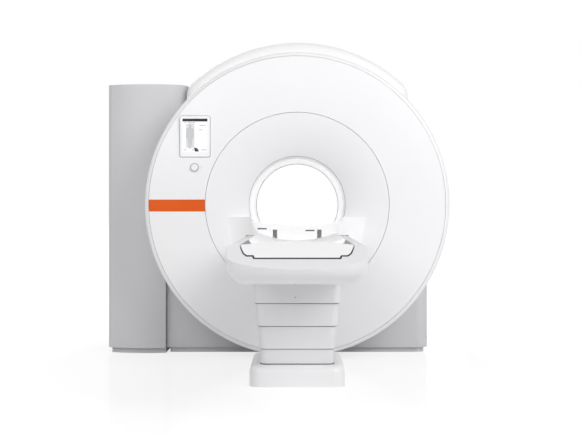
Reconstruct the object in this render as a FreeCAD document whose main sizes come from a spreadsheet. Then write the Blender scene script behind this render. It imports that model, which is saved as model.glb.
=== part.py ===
import FreeCAD, Part
import math
import os

import Sketcher

# Magnetic resonance scanner: a short cylindrical magnet behind a large round front cover, with a
# side cabinet, and a patient table whose deck rises on a telescopic pedestal and whose tabletop
# drives into the bore.
# Frame: +Y runs into the bore from the table end, +Z is up, and the origin is on the floor
# straight below the centre of the bore.

doc = FreeCAD.newDocument("Scanner")
sheet = doc.addObject("Spreadsheet::Sheet", "Dimensions")
subparts = []


# ---------------------------------------------------------------- sizes

class Size:
    """A length in millimetres, with the sheet expression that gives it."""

    def __init__(self, value, text):
        self.value = float(value)
        self.text = text

    def __add__(self, other):
        other = as_size(other)
        return Size(self.value + other.value, f"({self.text} + {other.text})")

    def __radd__(self, other):
        return as_size(other) + self

    def __sub__(self, other):
        other = as_size(other)
        return Size(self.value - other.value, f"({self.text} - {other.text})")

    def __rsub__(self, other):
        return as_size(other) - self

    def __mul__(self, other):
        other = as_size(other)
        return Size(self.value * other.value, f"({self.text} * {other.text})")

    def __rmul__(self, other):
        return as_size(other) * self

    def __truediv__(self, other):
        other = as_size(other)
        return Size(self.value / other.value, f"({self.text} / {other.text})")

    def __neg__(self):
        return Size(-self.value, f"(-1 * {self.text})")


def as_size(number):
    """A plain number as a Size, and a Size as it is."""
    if isinstance(number, Size):
        return number
    return Size(number, f"({number})")


def root(size):
    """The square root of a size."""
    return Size(math.sqrt(size.value), f"sqrt({size.text})")


def leg(long_side, side):
    """The other short side of a right-angled triangle."""
    return root(long_side * long_side - side * side)


def cell(name, value):
    """Writes one driving dimension to the sheet under a name of its own."""
    row = len(sheet.getUsedCells()) // 2 + 1
    sheet.set(f"A{row}", name)
    sheet.set(f"B{row}", str(value))
    sheet.setAlias(f"B{row}", name)
    return Size(value, f"Dimensions.{name}")


# ---------------------------------------------------------------- modelling steps

PLANES = {"X": "YZ_Plane", "Y": "XZ_Plane", "Z": "XY_Plane"}


def new_body(label, keep=True, lift=None):
    """An empty body. Kept bodies are written out; lift raises its frame to a height."""
    body = doc.addObject("PartDesign::Body", label)
    body.Label = label
    body.Placement = FreeCAD.Placement()
    if lift is not None:
        body.Placement.Base.z = lift.value
        body.setExpression("Placement.Base.z", lift.text)
    if keep:
        subparts.append(body)
    return body


def bind(feature, name, size):
    """Drives one property of a feature from the sheet."""
    feature.setExpression(name, as_size(size).text)


def place_sketch(body, axis, start):
    """An empty sketch square to an axis, at the place start along it."""
    plane = [one for one in body.Origin.OriginFeatures if one.Role == PLANES[axis]][0]
    sketch = body.newObject("Sketcher::SketchObject", f"{body.Name}Sketch")
    sketch.AttachmentSupport = [(plane, "")]
    sketch.MapMode = "FlatFace"
    along = -as_size(start) if axis == "Y" else as_size(start)
    sketch.AttachmentOffset = FreeCAD.Placement(
        FreeCAD.Vector(0, 0, along.value), FreeCAD.Rotation())
    bind(sketch, "AttachmentOffset.Base.z", along)
    return sketch


def hold(sketch, kind, geometry, end, size):
    """Ties one coordinate of a point of the sketch to the sheet."""
    number = sketch.addConstraint(
        Sketcher.Constraint(kind, -1, 1, geometry, end, as_size(size).value))
    bind(sketch, f"Constraints[{number}]", size)


def draw_arc(sketch, start, end, radius):
    """An arc from start to end. A positive radius turns left on the way, a negative one right."""
    dx, dy = end[0] - start[0], end[1] - start[1]
    chord = math.hypot(dx, dy)
    reach = math.sqrt(max(radius ** 2 - (chord / 2) ** 2, 0)) * math.copysign(1, radius)
    centre = (start[0] + dx / 2 - dy / chord * reach, start[1] + dy / 2 + dx / chord * reach)
    first, last = (start, end) if radius > 0 else (end, start)
    angles = [math.atan2(p[1] - centre[1], p[0] - centre[0]) for p in (first, last)]
    circle = Part.Circle(
        FreeCAD.Vector(centre[0], centre[1], 0), FreeCAD.Vector(0, 0, 1), abs(radius))
    return sketch.addGeometry(Part.ArcOfCircle(circle, *angles), False)


def draw_outline(sketch, corners):
    """A closed outline. A corner is (across, up), or (across, up, radius) where an arc leaves it."""
    points = [(as_size(c[0]).value, as_size(c[1]).value) for c in corners]
    edges = []
    for number, corner in enumerate(corners):
        start, end = points[number], points[(number + 1) % len(points)]
        if len(corner) == 3:
            radius = as_size(corner[2])
            edge = draw_arc(sketch, start, end, radius.value)
            ends = (1, 2) if radius.value > 0 else (2, 1)
            size = radius if radius.value > 0 else -radius
            held = sketch.addConstraint(Sketcher.Constraint("Radius", edge, size.value))
            bind(sketch, f"Constraints[{held}]", size)
        else:
            line = Part.LineSegment(FreeCAD.Vector(*start, 0), FreeCAD.Vector(*end, 0))
            edge = sketch.addGeometry(line, False)
            ends = (1, 2)
        edges.append((edge, ends))
    for number, corner in enumerate(corners):
        edge, ends = edges[number]
        before, before_ends = edges[number - 1]
        sketch.addConstraint(
            Sketcher.Constraint("Coincident", before, before_ends[1], edge, ends[0]))
        hold(sketch, "DistanceX", edge, ends[0], corner[0])
        hold(sketch, "DistanceY", edge, ends[0], corner[1])


def draw_circle(sketch, across, up, radius):
    """A circle about a point of the sketch."""
    across, up, radius = as_size(across), as_size(up), as_size(radius)
    circle = Part.Circle(
        FreeCAD.Vector(across.value, up.value, 0), FreeCAD.Vector(0, 0, 1), radius.value)
    edge = sketch.addGeometry(circle, False)
    hold(sketch, "DistanceX", edge, 3, across)
    hold(sketch, "DistanceY", edge, 3, up)
    held = sketch.addConstraint(Sketcher.Constraint("Radius", edge, radius.value))
    bind(sketch, f"Constraints[{held}]", radius)


def draw(body, axis, start, loops):
    """A sketch of closed loops: lists of corners, or (across, up, radius) for a circle."""
    sketch = place_sketch(body, axis, start)
    for loop in loops:
        if isinstance(loop, tuple):
            draw_circle(sketch, *loop)
        else:
            draw_outline(sketch, loop)
    return sketch


def pad(body, axis, start, length, *loops):
    """Adds a prism that runs from start in the axis's own direction."""
    feature = body.newObject("PartDesign::Pad", f"{body.Name}Pad")
    feature.Profile = draw(body, axis, start, loops)
    feature.Reversed = axis == "Y"
    bind(feature, "Length", length)
    return feature


def pocket(body, axis, start, length, *loops):
    """Removes a prism that runs from start in the axis's own direction."""
    before = solid_volume(body)
    feature = body.newObject("PartDesign::Pocket", f"{body.Name}Pocket")
    feature.Profile = draw(body, axis, start, loops)
    feature.Reversed = axis != "Y"
    bind(feature, "Length", length)
    expect_less(body, before)
    return feature


def solid_volume(body):
    """The volume of a body as it stands."""
    doc.recompute()
    return body.Shape.Volume


def expect_less(body, before):
    """Stops the build where a cut has removed nothing."""
    if not solid_volume(body) < before:
        raise RuntimeError(f"a cut in {body.Label} removes nothing")


def turn(body, *loops):
    """Turns a profile, drawn as (along Y, radius), about the body's own Y axis."""
    feature = body.newObject("PartDesign::Revolution", f"{body.Name}Turn")
    sketch = draw(body, "X", 0, loops)
    feature.Profile = sketch
    feature.ReferenceAxis = (sketch, ["H_Axis"])
    feature.Angle = 360
    return feature


def loft(body, sections, inner=None):
    """A tube through rounded rectangles (height, width, depth, corner); inner ones hollow it."""
    for kind, levels in (("AdditiveLoft", sections), ("SubtractiveLoft", inner)):
        if levels is None:
            continue
        sketches = [draw(body, "Z", level[0], [rounded(*level[1:])]) for level in levels]
        feature = body.newObject(f"PartDesign::{kind}", f"{body.Name}{kind}")
        feature.Profile = sketches[0]
        feature.Sections = sketches[1:]
        feature.Ruled = True
    return body


def edges_where(body, along=None, x=None, y=None, z=None, curved=None):
    """Names of the edges whose ends all lie at the given places, or that run along an axis."""
    doc.recompute()
    names = []
    for number, edge in enumerate(body.Tip.Shape.Edges, 1):
        ends = [vertex.Point for vertex in edge.Vertexes]
        ok = True
        for place, part in ((x, "x"), (y, "y"), (z, "z")):
            if place is None:
                continue
            wanted = [as_size(one).value for one in (place if isinstance(place, list) else [place])]
            ok = ok and all(
                any(abs(getattr(p, part) - one) < TOUCH for one in wanted) for p in ends)
        if along is not None and ok:
            run = ends[-1] - ends[0]
            off = [abs(getattr(run, part)) for part in "xyz" if part != along]
            ok = len(ends) == 2 and max(off) < TOUCH and run.Length > TOUCH
        if curved is not None and ok:
            ok = (edge.Curve.TypeId != "Part::GeomLine") == curved
        if ok:
            names.append(f"Edge{number}")
    return names


def fillet(body, radius, names):
    """Rounds the named edges of the body's last feature."""
    if not names:
        raise RuntimeError(f"no edge of {body.Label} to round")
    base = body.Tip
    feature = body.newObject("PartDesign::Fillet", f"{body.Name}Fillet")
    feature.Base = (base, names)
    bind(feature, "Radius", radius)
    doc.recompute()
    return feature


def combine(kind, label, base, tool, keep=False):
    """A Part boolean of two objects: kind is Cut, Common or Fuse."""
    made = doc.addObject(f"Part::{kind}", label)
    made.Label = label
    made.Base, made.Tool = base, tool
    if keep:
        subparts.append(made)
    return made


def block(label, x, y, z):
    """A plain box between two values on each axis, used to trim other pieces."""
    box = doc.addObject("Part::Box", label)
    for name, part, (low, high) in (("Length", "x", x), ("Width", "y", y), ("Height", "z", z)):
        low, high = as_size(low), as_size(high)
        bind(box, name, high - low)
        bind(box, f"Placement.Base.{part}", low)
    return box


# ---------------------------------------------------------------- outlines

TOUCH = 0.01


def rectangle(left, right, low, high):
    """Corners of a plain rectangle."""
    return [(left, low), (right, low), (right, high), (left, high)]


def rounded_box(left, right, low, high, corner):
    """Corners of a rectangle with round corners."""
    return [
        (left + corner, low), (right - corner, low, corner),
        (right, low + corner), (right, high - corner, corner),
        (right - corner, high), (left + corner, high, corner),
        (left, high - corner), (left, low + corner, corner),
    ]


def rounded(width, depth, corner, across, along):
    """A rounded rectangle about a centre."""
    return rounded_box(across - width / 2, across + width / 2,
                       along - depth / 2, along + depth / 2, corner)


def mirrored(half):
    """A whole outline from its right half, listed upwards, by a mirror about across = 0."""
    whole = [point[:2] for point in half]
    return whole + [(-as_size(x), y) for x, y in reversed(whole)]


def flipped(corners):
    """An outline mirrored about across = 0, with each arc kept on its own edge."""
    turned = []
    for number in range(len(corners) - 1, -1, -1):
        across, up = corners[number][:2]
        turned.append((-as_size(across), up) + tuple(corners[number - 1][2:]))
    return turned


# ---------------------------------------------------------------- driving dimensions

bore_height = cell("bore_height", 1000)
bore_radius = cell("bore_radius", 300)
magnet_length = cell("magnet_length", 1450)
front = -magnet_length / 2
rear = magnet_length / 2

sheet_wall = cell("cover_wall", 8)
seat = cell("seat_clearance", 0.3)
slip = cell("sliding_clearance", 0.4)
seam = cell("seam_gap", 2.5)

rim_radius = cell("rim_radius", 980)
rim_face = cell("rim_face_width", 27)
rim_depth = cell("rim_depth", 116)
rim_round = cell("rim_round", 30)
rim_set_back = cell("rim_set_back", 18)
ring_seam = cell("ring_seam_radius", 590)
cover_bow = cell("cover_bow_radius", 2400)
cover_drop = cell("cover_edge_drop", 14)
cover_inner_drop = cell("cover_inner_drop", 4)
flange_depth = cell("cover_flange_depth", 70)
lip_radius = bore_radius + cell("bore_lip_step", 13)
lip_depth = cell("bore_lip_depth", 88)
lip_land = cell("bore_lip_land", 9)
funnel_bow = cell("funnel_bow_radius", 900)
collar_depth = cell("collar_depth", 216)
liner_wall = cell("liner_wall", 4)

cover_radius = rim_radius - rim_face - seam / 2
carrier_front = front + flange_depth + seat


# ---------------------------------------------------------------- round covers and the bore

def ring_profile(points):
    """A turned profile whose places along Y are given behind the front cover plane."""
    return [(front + point[0],) + tuple(point[1:]) for point in points]


def front_cover_profile():
    inside = ring_seam + seam / 2
    bow, wall = cover_bow, sheet_wall
    return ring_profile([
        (cover_inner_drop, inside, -bow), (cover_drop, cover_radius),
        (flange_depth, cover_radius), (flange_depth, cover_radius - wall),
        (cover_drop + wall, cover_radius - wall, bow - wall),
        (cover_inner_drop + wall, inside + wall),
        (flange_depth, inside + wall), (flange_depth, inside),
    ])


def funnel_points(wall, outside):
    """The trumpet ring between the round seam and the bore lip, from the outside inwards."""
    back = lip_depth + lip_land
    return [
        (cover_inner_drop, outside, funnel_bow), (lip_depth, lip_radius), (back, lip_radius),
        (back, lip_radius + wall, -(funnel_bow - wall)),
        (cover_inner_drop + wall, outside - wall),
        (flange_depth, outside - wall), (flange_depth, outside),
    ]


def at_rear(points):
    """The same turned profile, mirrored to the rear of the magnet."""
    turned_round = []
    for point in points:
        bend = tuple(-as_size(one) for one in point[2:])
        turned_round.append((rear - point[0], point[1]) + bend)
    return turned_round


def collar_points():
    begin = lip_depth + lip_land + 2 * seat
    thick = liner_wall + sheet_wall
    return [
        (begin, lip_radius - seat), (collar_depth, bore_radius),
        (collar_depth, bore_radius + liner_wall), (begin + thick, lip_radius + liner_wall),
        (begin, lip_radius + liner_wall),
    ]


display_wide = cell("display_width", 192)
display_high = cell("display_height", 262)
display_across = cell("display_across", -654)
display_up = bore_height + cell("display_rise", 434)
display_proud = cell("display_proud", 7)
display_deep = cell("display_depth", 34)
display_corner = cell("display_corner", 12)
screen_side = cell("screen_side_margin", 16)
screen_top = cell("screen_top_margin", 17)
screen_bottom = cell("screen_bottom_margin", 31)
screen_thick = cell("screen_thickness", 4)
screen_sunk = cell("screen_set_back", 1)

dial_across = cell("dial_across", -657)
dial_up = bore_height + cell("dial_rise", 236)
dial_radius = cell("dial_ring_radius", 28)
dial_cap_radius = cell("dial_cap_radius", 21)
dial_proud = cell("dial_ring_proud", 6)
dial_back = cell("dial_ring_depth", 40)
dial_cap_deep = cell("dial_cap_depth", 20)
dial_web = cell("dial_cap_web", 5)
stem_radius = cell("dial_stem_radius", 6)
dial_press = cell("dial_press_travel", 2)
turning_fit = cell("turning_fit", 0.05)

stripe_high = cell("stripe_height", 77)
stripe_up = bore_height - cell("stripe_drop", 8)
stripe_thick = cell("stripe_thickness", 3)
stripe_gap = cell("stripe_gap", 0.4)


def make_front_cover():
    """The outer ring of the face, with its windows for the display, the dial and the stripe."""
    whole = new_body("cover_blank", keep=False, lift=bore_height)
    turn(whole, front_cover_profile())
    skin = new_body("stripe_skin", keep=False, lift=bore_height)
    inside = ring_seam + seam / 2
    turn(skin, ring_profile([
        (cover_inner_drop, inside, -cover_bow), (cover_drop, cover_radius),
        (cover_drop + stripe_thick, cover_radius, cover_bow - stripe_thick),
        (cover_inner_drop + stripe_thick, inside),
    ]))
    low, high = stripe_up - stripe_high / 2, stripe_up + stripe_high / 2
    outside = -rim_radius
    recess = block("stripe_recess", (outside, 0), (front, front + flange_depth), (low, high))
    pressed = combine("Common", "stripe_seat", skin, recess)
    with_recess = combine("Cut", "cover_with_recess", whole, pressed)

    strip = new_body("stripe_skin_inner", keep=False, lift=bore_height)
    turn(strip, ring_profile([
        (cover_inner_drop, inside + stripe_gap, -cover_bow),
        (cover_drop, cover_radius - stripe_gap),
        (cover_drop + stripe_thick - stripe_gap, cover_radius - stripe_gap,
         cover_bow - stripe_thick),
        (cover_inner_drop + stripe_thick - stripe_gap, inside + stripe_gap),
    ]))
    band = block("stripe_band", (outside, 0), (front, front + flange_depth),
                 (low + stripe_gap, high - stripe_gap))
    combine("Common", "stripe_inlay", strip, band, keep=True)

    windows = new_body("cover_windows", keep=False)
    gap = seat
    pad(windows, "Y", front - flange_depth, flange_depth * 2,
        rounded(display_wide + 2 * gap, display_high + 2 * gap, display_corner + gap,
                display_across, display_up))
    pad(windows, "Y", front - flange_depth, flange_depth * 2,
        (dial_across, dial_up, dial_radius + gap))
    combine("Cut", "front_cover", with_recess, windows, keep=True)


def make_rim():
    """The rounded edge ring that frames the face and closes it backwards."""
    body = new_body("front_rim", lift=bore_height)
    inner = cover_radius + seam
    shell = rim_radius - sheet_wall
    set_back = rim_set_back
    turn(body, ring_profile([
        (set_back, inner, -rim_round), (set_back + rim_round, rim_radius),
        (rim_depth, rim_radius), (rim_depth, drum_radius), (rim_depth - sheet_wall, drum_radius),
        (rim_depth - sheet_wall, shell), (set_back + rim_round, shell),
        (set_back + sheet_wall, inner + sheet_wall / 2), (set_back + sheet_wall, inner),
    ]))


def make_funnels():
    """The trumpet rings round both ends of the bore, and the collars that lead to the liner."""
    body = new_body("front_funnel", lift=bore_height)
    turn(body, ring_profile(funnel_points(sheet_wall, ring_seam - seam / 2)))
    body = new_body("front_collar", lift=bore_height)
    turn(body, ring_profile(collar_points()))
    body = new_body("rear_funnel", lift=bore_height)
    turn(body, at_rear(funnel_points(sheet_wall, ring_seam - 2 * seat)))
    body = new_body("rear_collar", lift=bore_height)
    turn(body, at_rear(collar_points()))


drum_radius = rim_radius - cell("drum_step", 50)
drum_end = cell("drum_end", 400)
drum_wall = cell("drum_wall", 6)
vessel_radius = cell("vessel_radius", 700)
vessel_bore = bore_radius + cell("coil_space", 100)
vessel_start = cell("vessel_start", 135)
vessel_round = cell("vessel_round", 45)
gradient_inner = bore_radius + cell("body_coil_space", 30)
gradient_start = cell("gradient_start", 225)
coil_start = cell("body_coil_start", 232)
carrier_thick = cell("carrier_thickness", 10)
standoff_radius = cell("standoff_radius", 30)
standoff_circle = cell("standoff_circle_radius", 560)
window_radius = cell("carrier_window_radius", 75)
window_circle = cell("carrier_window_circle_radius", 800)
turret_radius = cell("turret_radius", 140)
turret_top = bore_height + cell("turret_rise", 800)
WINDOWS = 12
STANDOFFS = 8


def make_magnet():
    """The vacuum vessel with its service turret, and the coil tubes nested in its bore."""
    body = new_body("vacuum_vessel", lift=bore_height)
    begin, end = front + vessel_start, rear - vessel_start
    turn(body, rectangle(begin, end, vessel_bore, vessel_radius))
    rims = edges_where(body, y=[begin, end], z=[-vessel_radius, vessel_radius])
    fillet(body, vessel_round, rims)
    root_of_turret = vessel_radius - vessel_round
    pad(body, "Z", root_of_turret, turret_top - bore_height - root_of_turret,
        (0, 0, turret_radius))

    body = new_body("gradient_coil", lift=bore_height)
    turn(body, rectangle(front + gradient_start, rear - gradient_start,
                         gradient_inner, vessel_bore - slip))
    body = new_body("body_coil", lift=bore_height)
    turn(body, rectangle(front + coil_start, rear - coil_start,
                         bore_radius + liner_wall + slip, gradient_inner - slip))
    body = new_body("bore_liner", lift=bore_height)
    turn(body, rectangle(front + collar_depth + seat, rear - collar_depth - seat,
                         bore_radius, bore_radius + liner_wall))


def polar(body, feature, count):
    """Repeats a feature about the body's own Y axis."""
    pattern = body.newObject("PartDesign::PolarPattern", f"{body.Name}Pattern")
    pattern.Originals = [feature]
    axis = [one for one in body.Origin.OriginFeatures if one.Role == "Y_Axis"][0]
    pattern.Axis = (axis, [""])
    pattern.Angle = 360
    pattern.Occurrences = count
    body.Tip = pattern
    doc.recompute()
    return pattern


def stack(body, feature, length, count):
    """Repeats a feature upwards over a length."""
    pattern = body.newObject("PartDesign::LinearPattern", f"{body.Name}Rows")
    pattern.Originals = [feature]
    axis = [one for one in body.Origin.OriginFeatures if one.Role == "Z_Axis"][0]
    pattern.Direction = (axis, [""])
    bind(pattern, "Length", length)
    pattern.Occurrences = count
    body.Tip = pattern
    doc.recompute()
    return pattern


def make_carrier():
    """The ring plate on the magnet's front end that all the round covers are screwed to."""
    body = new_body("cover_carrier", lift=bore_height)
    outer = rim_radius - sheet_wall - slip
    pad(body, "Y", carrier_front, carrier_thick, (0, 0, outer), (0, 0, vessel_bore))
    hole = pocket(body, "Y", carrier_front - seat, carrier_thick + 2 * seat,
                  (0, window_circle, window_radius))
    polar(body, hole, WINDOWS)
    back = carrier_front + carrier_thick
    leg_length = front + vessel_start - seat - back
    stand = pad(body, "Y", back, leg_length, (0, standoff_circle, standoff_radius))
    polar(body, stand, STANDOFFS)


def make_drum():
    """The plain drum behind the face, closed at the back round the magnet."""
    body = new_body("front_drum", lift=bore_height)
    begin = rim_depth + seat
    turn(body, ring_profile([
        (begin, drum_radius), (begin, drum_radius - drum_wall),
        (drum_end - drum_wall, drum_radius - drum_wall),
        (drum_end - drum_wall, vessel_radius + slip), (drum_end, vessel_radius + slip),
        (drum_end, drum_radius),
    ]))


cold_flange = cell("cold_head_flange_radius", 105)
cold_body = cell("cold_head_body_radius", 70)
cold_motor = cell("cold_head_motor_radius", 50)
cold_flange_high = cell("cold_head_flange_height", 18)
cold_body_high = cell("cold_head_body_height", 120)
cold_motor_high = cell("cold_head_motor_height", 70)


def make_cold_head():
    """The two-stage refrigerator head that stands on the turret."""
    body = new_body("cold_head", lift=turret_top + seat)
    pad(body, "Z", 0, cold_flange_high, (0, 0, cold_flange))
    pad(body, "Z", cold_flange_high, cold_body_high, (0, 0, cold_body))
    pad(body, "Z", cold_flange_high + cold_body_high, cold_motor_high, (0, 0, cold_motor))


# ---------------------------------------------------------------- casing behind the face

casing_half = vessel_radius + cell("casing_side_space", 45)
casing_arch = cell("casing_arch_radius", 1050)
casing_arch_up = bore_height + cell("casing_arch_rise", 42)
casing_shoulder = cell("casing_shoulder_radius", 110)
casing_round = cell("casing_front_round", 70)
casing_split = bore_height + cell("casing_split_rise", 500)
casing_gap = cell("casing_drum_gap", 0.5)
rear_wall = cell("rear_cover_thickness", 10)
base_top = bore_height - cell("base_cover_drop", 350)
base_half = cell("base_half_width", 885)
base_start = cell("base_start", 490)
base_round = cell("base_corner_radius", 80)
base_seam_round = cell("base_seam_corner_radius", 12)
toe_height = cell("toe_height", 34)
toe_set_back = cell("toe_set_back", 24)
toe_wide = cell("toe_width", 60)


def arch(inset, low):
    """A tombstone outline: straight sides, round shoulders and one wide arc, drawn in by inset."""
    half, radius, shoulder = casing_half - inset, casing_arch - inset, casing_shoulder - inset
    rise = leg(radius - shoulder, half - shoulder)
    share = radius / (radius - shoulder)
    across, up = (half - shoulder) * share, casing_arch_up + rise * share
    spring = casing_arch_up + rise
    return [(-half, low), (half, low), (half, spring, shoulder), (across, up, radius),
            (-across, up, shoulder), (-half, spring)]


def make_casing():
    """The shell over the magnet, in two sides and a top, and the flat cover at its rear."""
    begin = front + drum_end + casing_gap
    end = rear - rear_wall - slip
    low = base_top + seat
    outer = new_body("casing_outer", keep=False)
    pad(outer, "Y", begin, end - begin, arch(0, low))
    fillet(outer, casing_round, [name for name in edges_where(outer, y=begin)
                                 if name not in edges_where(outer, z=low)])
    inner = new_body("casing_inner", keep=False)
    wall = sheet_wall
    pad(inner, "Y", begin + wall, end - begin, arch(wall, low - wall))
    fillet(inner, casing_round - wall, [
        name for name in edges_where(inner, y=begin + wall)
        if name not in edges_where(inner, z=low - wall)])
    hollow = combine("Cut", "casing_hollow", outer, inner)
    way = new_body("casing_way", keep=False, lift=bore_height)
    turn(way, rectangle(begin - wall, begin + 2 * wall + casing_round, 0, vessel_radius + slip))
    shell = combine("Cut", "casing_shell", hollow, way)
    reach = casing_half + wall
    spread = (begin - wall, end + wall)
    top = casing_arch_up + casing_arch + wall
    for label, x, z in (
            ("casing_left", (-reach, 0), (low - wall, casing_split - slip)),
            ("casing_right", (0, reach), (low - wall, casing_split - slip)),
            ("casing_top", (-reach, reach), (casing_split, top))):
        zone = block(f"{label}_zone", x, spread, z)
        combine("Common", label, shell, zone, keep=True)

    body = new_body("rear_cover")
    pad(body, "Y", rear - rear_wall, rear_wall, arch(0, low))
    pocket(body, "Y", rear - 2 * rear_wall, 3 * rear_wall, (0, bore_height, ring_seam))


def base_outline(inset):
    """The base box in plan, drawn in by inset: nearly square where it meets the cabinet."""
    left, right = inset - base_half, base_half - inset
    begin, end = front + base_start + inset, rear - inset
    wide, tight = base_round - inset, base_seam_round
    return [
        (left + tight, begin), (right - wide, begin, wide), (right, begin + wide),
        (right, end - wide, wide), (right - wide, end), (left + tight, end, tight),
        (left, end - tight), (left, begin + tight, tight)]


def make_base():
    """The grey box round the magnet's feet, arched over by the vessel, on a recessed toe frame."""
    begin, end = front + base_start, rear
    low = toe_height
    outer = new_body("base_outer", keep=False)
    pad(outer, "Z", low, base_top - low, base_outline(as_size(0)))
    inner = new_body("base_inner", keep=False)
    wall = sheet_wall
    pad(inner, "Z", low + wall, base_top - low - 2 * wall, base_outline(wall))
    flange = toe_set_back + toe_wide
    pad(inner, "Z", low - wall, 3 * wall,
        rectangle(-base_half + flange, base_half - flange, begin + flange, end - flange))
    hollow = combine("Cut", "base_hollow", outer, inner)
    way = new_body("base_way", keep=False, lift=bore_height)
    turn(way, [
        (begin - wall, 0), (end + wall, 0), (end + wall, ring_seam), (end - 2 * wall, ring_seam),
        (end - 2 * wall, vessel_radius + slip), (begin - wall, vessel_radius + slip)])
    combine("Cut", "base_cover", hollow, way, keep=True)

    body = new_body("base_plinth")
    pad(body, "Z", 0, toe_height - seat, base_outline(toe_set_back),
        rectangle(-base_half + flange, base_half - flange, begin + flange, end - flange))


beam_half = cell("frame_half_width", 500)
beam_wide = cell("frame_beam_width", 140)
beam_high = cell("frame_beam_height", 150)
frame_front = cell("frame_front", -125)
frame_rear = cell("frame_rear", 560)
cross_wide = cell("frame_cross_width", 110)
saddle_half = cell("saddle_half_width", 420)
saddle_top = bore_height - cell("saddle_drop", 520)
saddle_thick = cell("saddle_thickness", 60)
anchor_radius = cell("magnet_anchor_radius", 13)
anchor_across = cell("magnet_anchor_across", 860)
anchor_along = cell("magnet_anchor_along", 560)


def make_base_frame():
    """The welded steel frame with two saddles that the vacuum vessel lies in."""
    body = new_body("base_frame")
    run = frame_rear - frame_front
    low_beam = beam_half - beam_wide
    pad(body, "Z", 0, beam_high, rectangle(low_beam, beam_half, frame_front, frame_rear))
    pad(body, "Z", 0, beam_high, rectangle(-beam_half, -low_beam, frame_front, frame_rear))
    for along in (-cross_wide / 2, frame_front, frame_rear - cross_wide):
        pad(body, "Z", 0, beam_high,
            rectangle(-beam_half + beam_wide / 2, beam_half - beam_wide / 2,
                      along, along + cross_wide))
    for along in (frame_front + cross_wide / 2, frame_rear - saddle_thick - cross_wide / 2):
        saddle = [
            (-saddle_half, beam_high - saddle_thick), (saddle_half, beam_high - saddle_thick),
            (saddle_half, saddle_top), (-saddle_half, saddle_top)]
        pad(body, "Y", along, saddle_thick, saddle)
    pocket(body, "Y", frame_front - slip, run + 2 * slip, (0, bore_height, vessel_radius + seat))
    middle = (frame_front + frame_rear) / 2
    for side in (-1, 1):
        for end in (-1, 1):
            pocket(body, "Z", -slip, beam_high + 2 * slip,
                   (side * anchor_across / 2, middle + end * anchor_along / 2, anchor_radius))


# ---------------------------------------------------------------- side cabinet

cabinet_left = cell("cabinet_left", -1278)
cabinet_right = cell("cabinet_right", -746)
cabinet_apex = cell("cabinet_apex", 418)
cabinet_apex_across = cell("cabinet_apex_across", -1010)
cabinet_bow = cell("cabinet_bow_radius", 500)
cabinet_rear = cell("cabinet_rear", 1405)
cabinet_top = bore_height + cell("cabinet_rise", 808)
cabinet_round = cell("cabinet_inner_round", 130)
cabinet_outer_round = cell("cabinet_outer_round", 45)
cabinet_wall = cell("cabinet_wall", 4)
door_thick = cell("cabinet_door_thickness", 20)
rack_wide = cell("rack_width", 300)
rack_head = cell("rack_head_space", 364)
rack_post = cell("rack_post", 30)
rack_deep = cell("rack_depth", 600)
unit_high = cell("power_unit_height", 220)
unit_pitch = cell("power_unit_pitch", 300)
fan_radius = cell("fan_radius", 110)
fan_hub = cell("fan_hub_radius", 32)
fan_thick = cell("fan_thickness", 30)
fan_up = cabinet_top - cell("fan_drop", 208)
fan_shaft = cell("fan_shaft_radius", 6)
blade_thick = cell("fan_blade_thickness", 4)
blade_lead = cell("fan_blade_lead", 12)
blade_trim = cell("fan_blade_tip_trim", 5.5)
louvre_pitch = cell("louvre_pitch", 30)
louvre_half = cell("louvre_half_length", 100)
UNITS = 4
LOUVRES = 6
BLADES = 7


def cabinet_outline(inset):
    """The cabinet's plan: a bowed front between straight sides, drawn in by inset."""
    middle = front + cabinet_apex + cabinet_bow
    radius = cabinet_bow - inset
    left, right = cabinet_left + inset, cabinet_right - inset
    left_front = middle - leg(radius, cabinet_apex_across - left)
    right_front = middle - leg(radius, right - cabinet_apex_across)
    back = front + cabinet_rear
    return left, right, left_front, right_front, back, radius


def cabinet_solid(label, inset, low, high, lengthen):
    """A closed solid on the cabinet's plan, with its front corners rounded."""
    left, right, left_front, right_front, back, radius = cabinet_outline(inset)
    body = new_body(label, keep=False)
    pad(body, "Z", low, high - low,
        [(left, back + lengthen), (left, left_front, radius), (right, right_front),
         (right, back + lengthen)])
    fillet(body, cabinet_round - inset, edges_where(body, "z", x=right, y=right_front))
    fillet(body, cabinet_outer_round - inset, edges_where(body, "z", x=left, y=left_front))
    return body


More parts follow.
